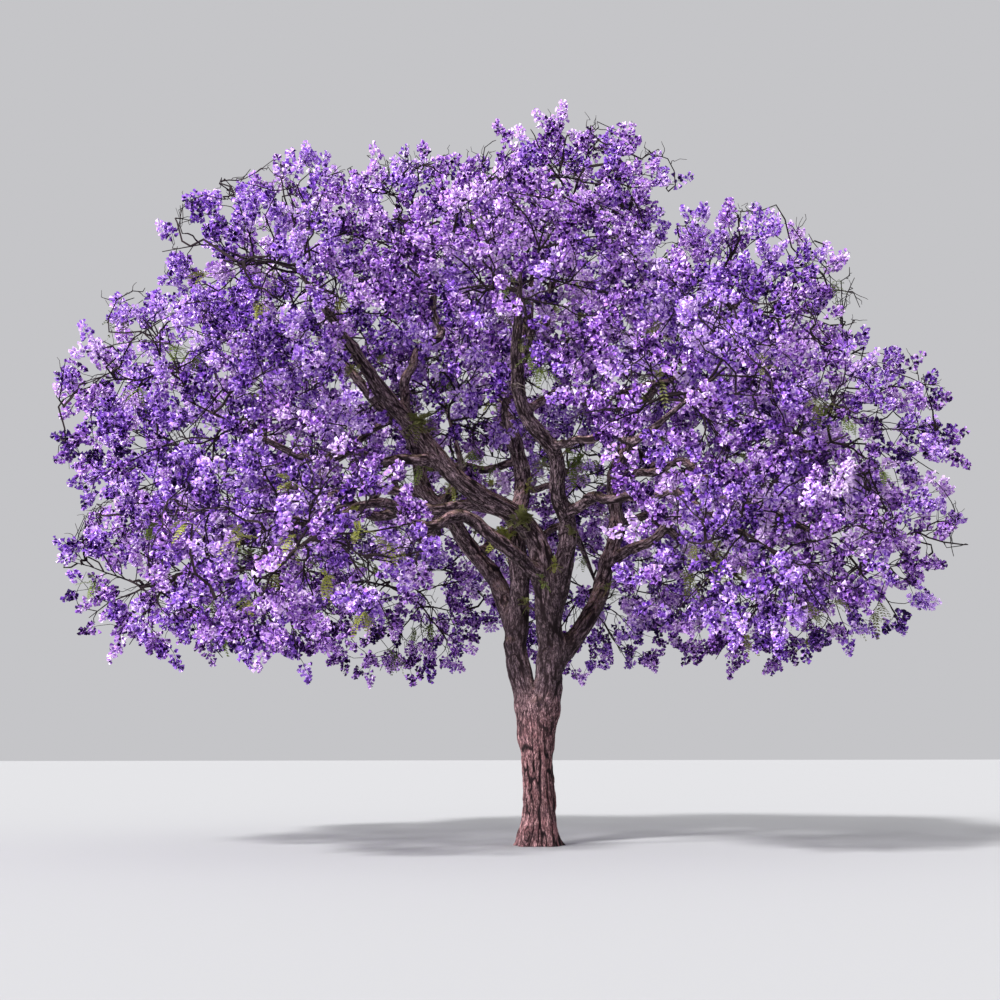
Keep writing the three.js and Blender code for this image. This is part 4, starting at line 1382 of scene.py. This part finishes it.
def grow_tuft(heap, root, out, reach, form, draw):
    """A tuft of young leaves on short shoots that leave a bough together."""
    shoots, count, size = form["shoots"], form["leaves"], form["size"]
    foot = root + out * (reach - TUFT_STEM * SHOOT["foot"])
    aim = unit(out + SHOOT["spread"] * draw.normal(size=(shoots, 3)))
    ends = root + out * reach + aim * SHOOT["length"] * size
    starts, ways = np.repeat(foot[None], shoots, axis=0), np.repeat(out[None], shoots, axis=0)
    paths, radii = twigs("shoot", bent(starts, ways, ends, SHOOT_POINTS), draw)
    heap.add(*thin_tubes(paths, radii, TWIG_SIDES), SHOOT_TONE)
    owner = draw.integers(0, shoots, count)
    at, lead = at_stations(paths[owner], draw.uniform(*TUFT_LEAF["stations"], count))
    spread = draw.normal(size=(count, 3)) * TUFT_LEAF["spread"]
    way = unit(lead * TUFT_LEAF["lead"] + spread + TUFT_LEAF["lift"] * UP)
    points, faces = leaves(at, way, size * draw.uniform(*TUFT_LEAF["varies"], count), draw)
    heap.add(points, faces, draw.integers(0, SHOOT_TONE))


def grow_leaves(crown, bunches, skins, finishes, draw):
    """Tufts of young leaves on the boughs, and sparse leaves among the blossom."""
    heap = Heap()
    for tuft in TUFTS:
        parent = crown.limbs[tuft["parent"]]
        out = direction(tuft["heading"], TUFT_RISE)
        reach = parent.radius(tuft["station"]) + TUFT_STEM
        grow_tuft(heap, parent.path.point(tuft["station"]), out, reach, TUFT, draw)
    names = BOUGH_NAMES[:1] + BOUGH_NAMES
    for _ in range(SMALL_TUFTS["places"]):
        skin = skins[names[draw.integers(len(names))]]
        ring = int(draw.uniform(*SMALL_TUFTS["stations"]) * skin.rings)
        side = draw.integers(skin.sides)
        out = unit(skin.circle[ring, side] + SMALL_TUFTS["lift"] * UP)
        root = skin.points[ring, side] - SMALL_TUFTS["sunk"] * out
        grow_tuft(heap, root, out, gaining(SMALL_TUFTS["reach"], draw.uniform()), SMALL_TUFT, draw)
    for bunch in bunches:
        owner = np.repeat(np.nonzero(bunch["leafy"])[0], BUNCH["leaves"])
        if not len(owner):
            continue
        at, lead = at_stations(bunch["paths"][owner], draw.uniform(*BUNCH["stations"], len(owner)))
        ways = BUNCH["lead"] * lead + BUNCH["out"] * bunch["out"][owner]
        ways = unit(ways + BUNCH["spread"] * draw.normal(size=at.shape))
        size = draw.uniform(*BUNCH["varies"], len(owner))
        inside = in_reach(at + ways * (LEAF_LENGTH * size)[:, None], FLOWER_MARGIN)
        points, faces = leaves(at[inside], ways[inside], size[inside], draw)
        heap.add(points, faces, draw.integers(0, SHOOT_TONE))
    piece = heap.piece("leaves", finishes)
    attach(piece, "root")
    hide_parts(*[f"leaf_tuft_{i + 1}" for i in range(len(TUFTS))])


# Finishes


class Value:
    """A socket in a finish, so that shader maths reads as plain expressions."""

    def __init__(self, finish, socket):
        self.finish, self.socket = finish, socket

    def maths(self, operation, *values):
        return self.finish.node("ShaderNodeMath", {"operation": operation}, dict(enumerate(values)))

    def __add__(self, other):
        return self.maths("ADD", self, other)

    def __sub__(self, other):
        return self.maths("SUBTRACT", self, other)

    def __rsub__(self, other):
        return self.maths("SUBTRACT", other, self)

    def __mul__(self, other):
        return self.maths("MULTIPLY", self, other)

    def __abs__(self):
        return self.maths("ABSOLUTE", self)

    __radd__ = __add__
    __rmul__ = __mul__

    def step(self, low, high):
        """0 below low and 1 above high, with a smooth rise between them."""
        settings = {"interpolation_type": "SMOOTHSTEP"}
        return self.finish.node("ShaderNodeMapRange", settings, {0: self, 1: low, 2: high})


class Finish:
    """A material with one Principled shader."""

    def __init__(self, name, **constants):
        self.material = bpy.data.materials.new(name)
        self.material.use_nodes = True
        self.tree = self.material.node_tree
        self.shader = self.tree.nodes["Principled BSDF"]
        for key, value in constants.items():
            self.shader.inputs[key.replace("_", " ")].default_value = value

    def node(self, kind, settings=None, sockets=None, out=0):
        """Any node: its settings are set first, then the values or links of its sockets."""
        made = self.tree.nodes.new(kind)
        for key, value in (settings or {}).items():
            setattr(made, key, value)
        for key, value in (sockets or {}).items():
            if isinstance(value, Value):
                self.tree.links.new(value.socket, made.inputs[key])
            else:
                made.inputs[key].default_value = value
        return Value(self, made.outputs[out])

    def mix(self, share, a, b):
        """Two colours mixed by a share."""
        return self.node("ShaderNodeMix", {"data_type": "RGBA"}, {0: share, 6: a, 7: b}, 2)

    def attribute(self, name, out):
        """What the mesh holds at each point: output 1 is a vector, and 2 a number."""
        return self.node("ShaderNodeAttribute", {"attribute_name": name}, out=out)

    def height_of(self, vector):
        return self.node("ShaderNodeSeparateXYZ", {}, {0: vector}, out=2)

    def drive(self, name, value):
        self.tree.links.new(value.socket, self.shader.inputs[name])


def colour(red, green, blue):
    """A linear colour from 8-bit display values."""

    def linear(v):
        v = v / 255
        return v / 12.92 if v <= 0.04045 else ((v + 0.055) / 1.055) ** 2.4

    return (linear(red), linear(green), linear(blue), 1.0)


# Tones of the bark on the trunk and on the boughs: the plates and their darker patches, the mottling
# over both, and pale fibres and flecks
BARK_TONES = {
    "plate": ((124, 80, 84), (106, 82, 92)),
    "patch": ((84, 58, 66), (62, 47, 56)),
    "mottle": ((84, 56, 60), (48, 37, 44)),
    "fibre": ((222, 166, 168), (192, 164, 174)),
    "fleck": ((222, 172, 174), (214, 182, 192)),
}
# Painted shade on the boughs' undersides and painted light on their tops
PAINTED_SHADE_UNDER_BOUGHS, PAINTED_LIGHT_ON_BOUGH_TOPS = (20, 13, 17), (214, 164, 162)
# Painted shadow of the crown on the fork, and painted shade in the cracks over the bark's own darker tone
# there
PAINTED_FORK_SHADOW, CRACK_TONE_AND_PAINTED_SHADE = (34, 23, 29), (26, 14, 18)
MOSS_TONES = ((78, 72, 36), (150, 138, 82))
# Noise of the finish: its cells to the metre, its detail, and the range over which it rises to 1
BARK_NOISE = {
    "fine": (46.0, 2.0, 0.0, 0.07),
    "fissure": (19.0, 3.0, 0.0, 0.065),
    "fibre": (90.0, 4.0, 0.4, 0.64),
    "mottle": (16.0, 4.0, 0.42, 0.6),
    "fleck": (30.0, 2.0, 0.5, 0.6),
    "broad": (4.0, 3.0, 0.36, 0.64),
    "moss": (7.0, 5.0, 0.44, 0.58),
}
NOISE_ROUGHNESS = 0.6
# How far up or down a surface faces, from where a tone starts to where it is full: the painted light on the
# boughs' tops, the painted shade under them, and the moss
FACING = {"top": (0.0, 0.7), "under": (-0.75, 0.3), "moss": (0.1, 0.8)}
# What is left of a plate's tone in a fine fissure and in any fissure, each with its gain outside it,
# and the relief over which plates come out of the furrows; elsewhere the cracks get their darker tone with
# painted shade
FINE_LEAVES, FISSURES_LEAVE = (0.35, 0.65), (0.16, 0.84)
STANDING = (0.1, 0.7)
# How strong each tone shows, with the painted light on the boughs' tops and the painted shadow on the fork
# among them
MOTTLE, FIBRE, FLECK, PAINTED_TOP_LIGHT, MOSS, FORK_SHADOW_SHARE = 0.7, 0.45, 0.5, 0.9, 0.7, 0.62
# Heights over which the trunk's tones turn to the boughs', and between which lies the painted shadow of the
# crown on the fork
ALOFT = (1.75, 3.1)
FORK_SHADOW_FROM, FORK_SHADOW_TO = (2.0, 2.9), (3.4, 6.2)
BUMP = {"Strength": 0.8, "Distance": 0.008}
FIBRE_BUMP = 0.3


def bark_finish():
    """Furrowed bark: pink-brown on the trunk and greyer on the boughs, ochre where it faces up, with
    painted light on the boughs' tops and painted shade under them, on the fork and in the cracks.
    """
    f = Finish("bark", Roughness=0.92, Specular_IOR_Level=0.2)
    limb_place, fork_place = f.attribute("limb_place", 1), f.attribute("fork_place", 1)
    relief, shared = f.attribute("relief", 2), f.attribute("shared", 2)
    position, normal = (f.node("ShaderNodeNewGeometry", out=out) for out in (0, 1))
    stretch = {0: limb_place, 1: (1.0, 1.0, FORK_GRAIN)}
    grain = f.node("ShaderNodeVectorMath", {"operation": "MULTIPLY"}, stretch), fork_place
    place = limb_place, position

    def noise(name, at=grain, cracks=False):
        """The limb's own noise, which gives way to the noise that all limbs share at a fork."""
        scale, detail, low, high = BARK_NOISE[name]
        settings = {"Scale": scale, "Detail": detail, "Roughness": NOISE_ROUGHNESS}
        own, joint = (f.node("ShaderNodeTexNoise", {}, {"Vector": v, **settings}) for v in at)
        level = own + shared * (joint - own)
        return (abs(level - 0.5) if cracks else level).step(low, high)

    height, facing = f.height_of(position), f.height_of(normal)
    aloft = height.step(*ALOFT)
    # Painted shadow of the crown, over the fork and the lower boughs
    fork_shadow = height.step(*FORK_SHADOW_FROM) * (1 - height.step(*FORK_SHADOW_TO))
    fissures = noise("fissure", cracks=True) * gaining(FINE_LEAVES, noise("fine", cracks=True))
    fibres, broad = noise("fibre"), noise("broad", place)
    moss = facing.step(*FACING["moss"]) * noise("moss", place) * aloft

    def tone(name):
        trunk, bough = BARK_TONES[name]
        return f.mix(aloft, colour(*trunk), colour(*bough))

    both = zip(BARK_TONES["plate"], BARK_TONES["patch"])
    trunk, bough = (f.mix(broad, colour(*plate), colour(*patch)) for plate, patch in both)
    # Painted light on the tops of the boughs, and painted shade under them
    bough = f.mix(facing.step(*FACING["top"]) * PAINTED_TOP_LIGHT, bough, colour(*PAINTED_LIGHT_ON_BOUGH_TOPS))
    bough = f.mix(facing.step(*FACING["under"]), colour(*PAINTED_SHADE_UNDER_BOUGHS), bough)
    plate = f.mix(aloft, trunk, bough)
    plate = f.mix(noise("mottle") * MOTTLE, plate, tone("mottle"))
    plate = f.mix(fibres * FIBRE, plate, tone("fibre"))
    plate = f.mix(noise("fleck") * FLECK, plate, tone("fleck"))
    plate = f.mix(moss * MOSS, plate, f.mix(fibres, *[colour(*moss_tone) for moss_tone in MOSS_TONES]))
    # The painted shadow darkens the fork
    plate = f.mix(fork_shadow * FORK_SHADOW_SHARE, plate, colour(*PAINTED_FORK_SHADOW))
    # Painted shade in the cracks, over their own darker tone: the plates give way to it where the relief is
    # low
    solid = relief.step(*STANDING) * gaining(FISSURES_LEAVE, fissures)
    f.drive("Base Color", f.mix(solid, colour(*CRACK_TONE_AND_PAINTED_SHADE), plate))
    bump = {"Height": fissures + FIBRE_BUMP * fibres, **BUMP}
    f.drive("Normal", f.node("ShaderNodeBump", {}, bump))
    return f.material


def plain_finishes(tones, roughness):
    """One plain finish for each named tone."""
    same = {"Roughness": roughness, "Specular_IOR_Level": 0.2}
    return [Finish(name, Base_Color=colour(*tone), **same).material for name, tone in tones.items()]


# Roughness of petals and leaves, and of twigs
SATIN, MATT = 0.6, 0.85
TWIG_TONES = {"twig_dark": (32, 21, 26), "twig_pale": (108, 96, 92)}
LEAF_TONES = {"leaf_olive": (136, 138, 66), "leaf_green": (94, 108, 48), "leaf_dull": (106, 108, 62),
              "leaf_shoot": (92, 76, 58)}
# Shades of the blossom, each from the deepest to the palest
VIOLETS = [(38, 12, 70), (110, 62, 168), (158, 108, 214), (200, 158, 240), (236, 210, 254)]
LILACS = [(44, 14, 70), (124, 72, 170), (174, 122, 214), (212, 170, 238), (242, 218, 254)]
BLOSSOM_TONES = {f"violet_{i + 1}": tone for i, tone in enumerate(VIOLETS)}
BLOSSOM_TONES.update({f"lilac_{i + 1}": tone for i, tone in enumerate(LILACS)})


# Floor, light and camera

EYE = (-6.8, -30.0, 1.7)
AIM = (-0.7, 0.0, 6.1)
LENS, SENSOR, FARTHEST = 62.0, 36.0, 1000
FLOOR_SIDE = 400.0
FLOOR_TONE = (0.5, 0.5, 0.51, 1)
FLOOR_DROP = 0.002
SKY_TONE, SKY_STRENGTH = (0.9, 0.9, 0.93, 1), 0.62
# Each lamp's name, place, strength and width in degrees, and the point that the lamps look at
LAMPS = [("key", (-20, -22, 32), 3.7, 8), ("side", (-30, -9, 9), 4.4, 14)]
LAMP_AIM = (0, 0, 5)


def placed(name, data, place, aim):
    """A lamp or camera at a place, turned towards a point."""
    thing = bpy.data.objects.new(name, data)
    bpy.context.scene.collection.objects.link(thing)
    thing.location = place
    thing.rotation_mode = "QUATERNION"
    thing.rotation_quaternion = (Vector(aim) - thing.location).to_track_quat("-Z", "Y")
    return thing


def set_stage():
    """A plain floor, soft light and the camera at the photograph's viewing angle."""
    h = FLOOR_SIDE / 2
    corners = np.array([[-h, -h, 0], [h, -h, 0], [h, h, 0], [-h, h, 0]], float)
    finish = Finish("floor", Roughness=0.9, Base_Color=FLOOR_TONE).material
    floor = make_piece("floor", corners, np.array([[0, 1, 2, 3]]), [finish])
    floor.location.z = -FLOOR_DROP
    world = bpy.data.worlds.new("studio")
    world.use_nodes = True
    sky = world.node_tree.nodes["Background"]
    sky.inputs["Color"].default_value = SKY_TONE
    sky.inputs["Strength"].default_value = SKY_STRENGTH
    bpy.context.scene.world = world
    for name, place, energy, angle in LAMPS:
        lamp = bpy.data.lights.new(name, "SUN")
        lamp.energy, lamp.angle = energy, math.radians(angle)
        placed(name, lamp, place, LAMP_AIM)
    lens = bpy.data.cameras.new("camera")
    lens.lens, lens.sensor_width, lens.clip_end = LENS, SENSOR, FARTHEST
    bpy.context.scene.camera = placed("camera", lens, EYE, AIM)
    bpy.context.scene.view_settings.view_transform = "Standard"


def build_tree():
    """Every piece of the tree."""
    crown = Crown()
    draw = np.random.default_rng(FOLIAGE_SEED)
    skins = grow_bark(crown, bark_finish())
    tubes, bunches = grow_twigs(crown, draw)
    stalks = grow_blossom(crown, bunches, plain_finishes(BLOSSOM_TONES, SATIN), draw)
    join_twigs(tubes, grow_sprouts(skins, draw), stalks, plain_finishes(TWIG_TONES, MATT))
    grow_leaves(crown, bunches, skins, plain_finishes(LEAF_TONES, SATIN), draw)


build_tree()
set_stage()
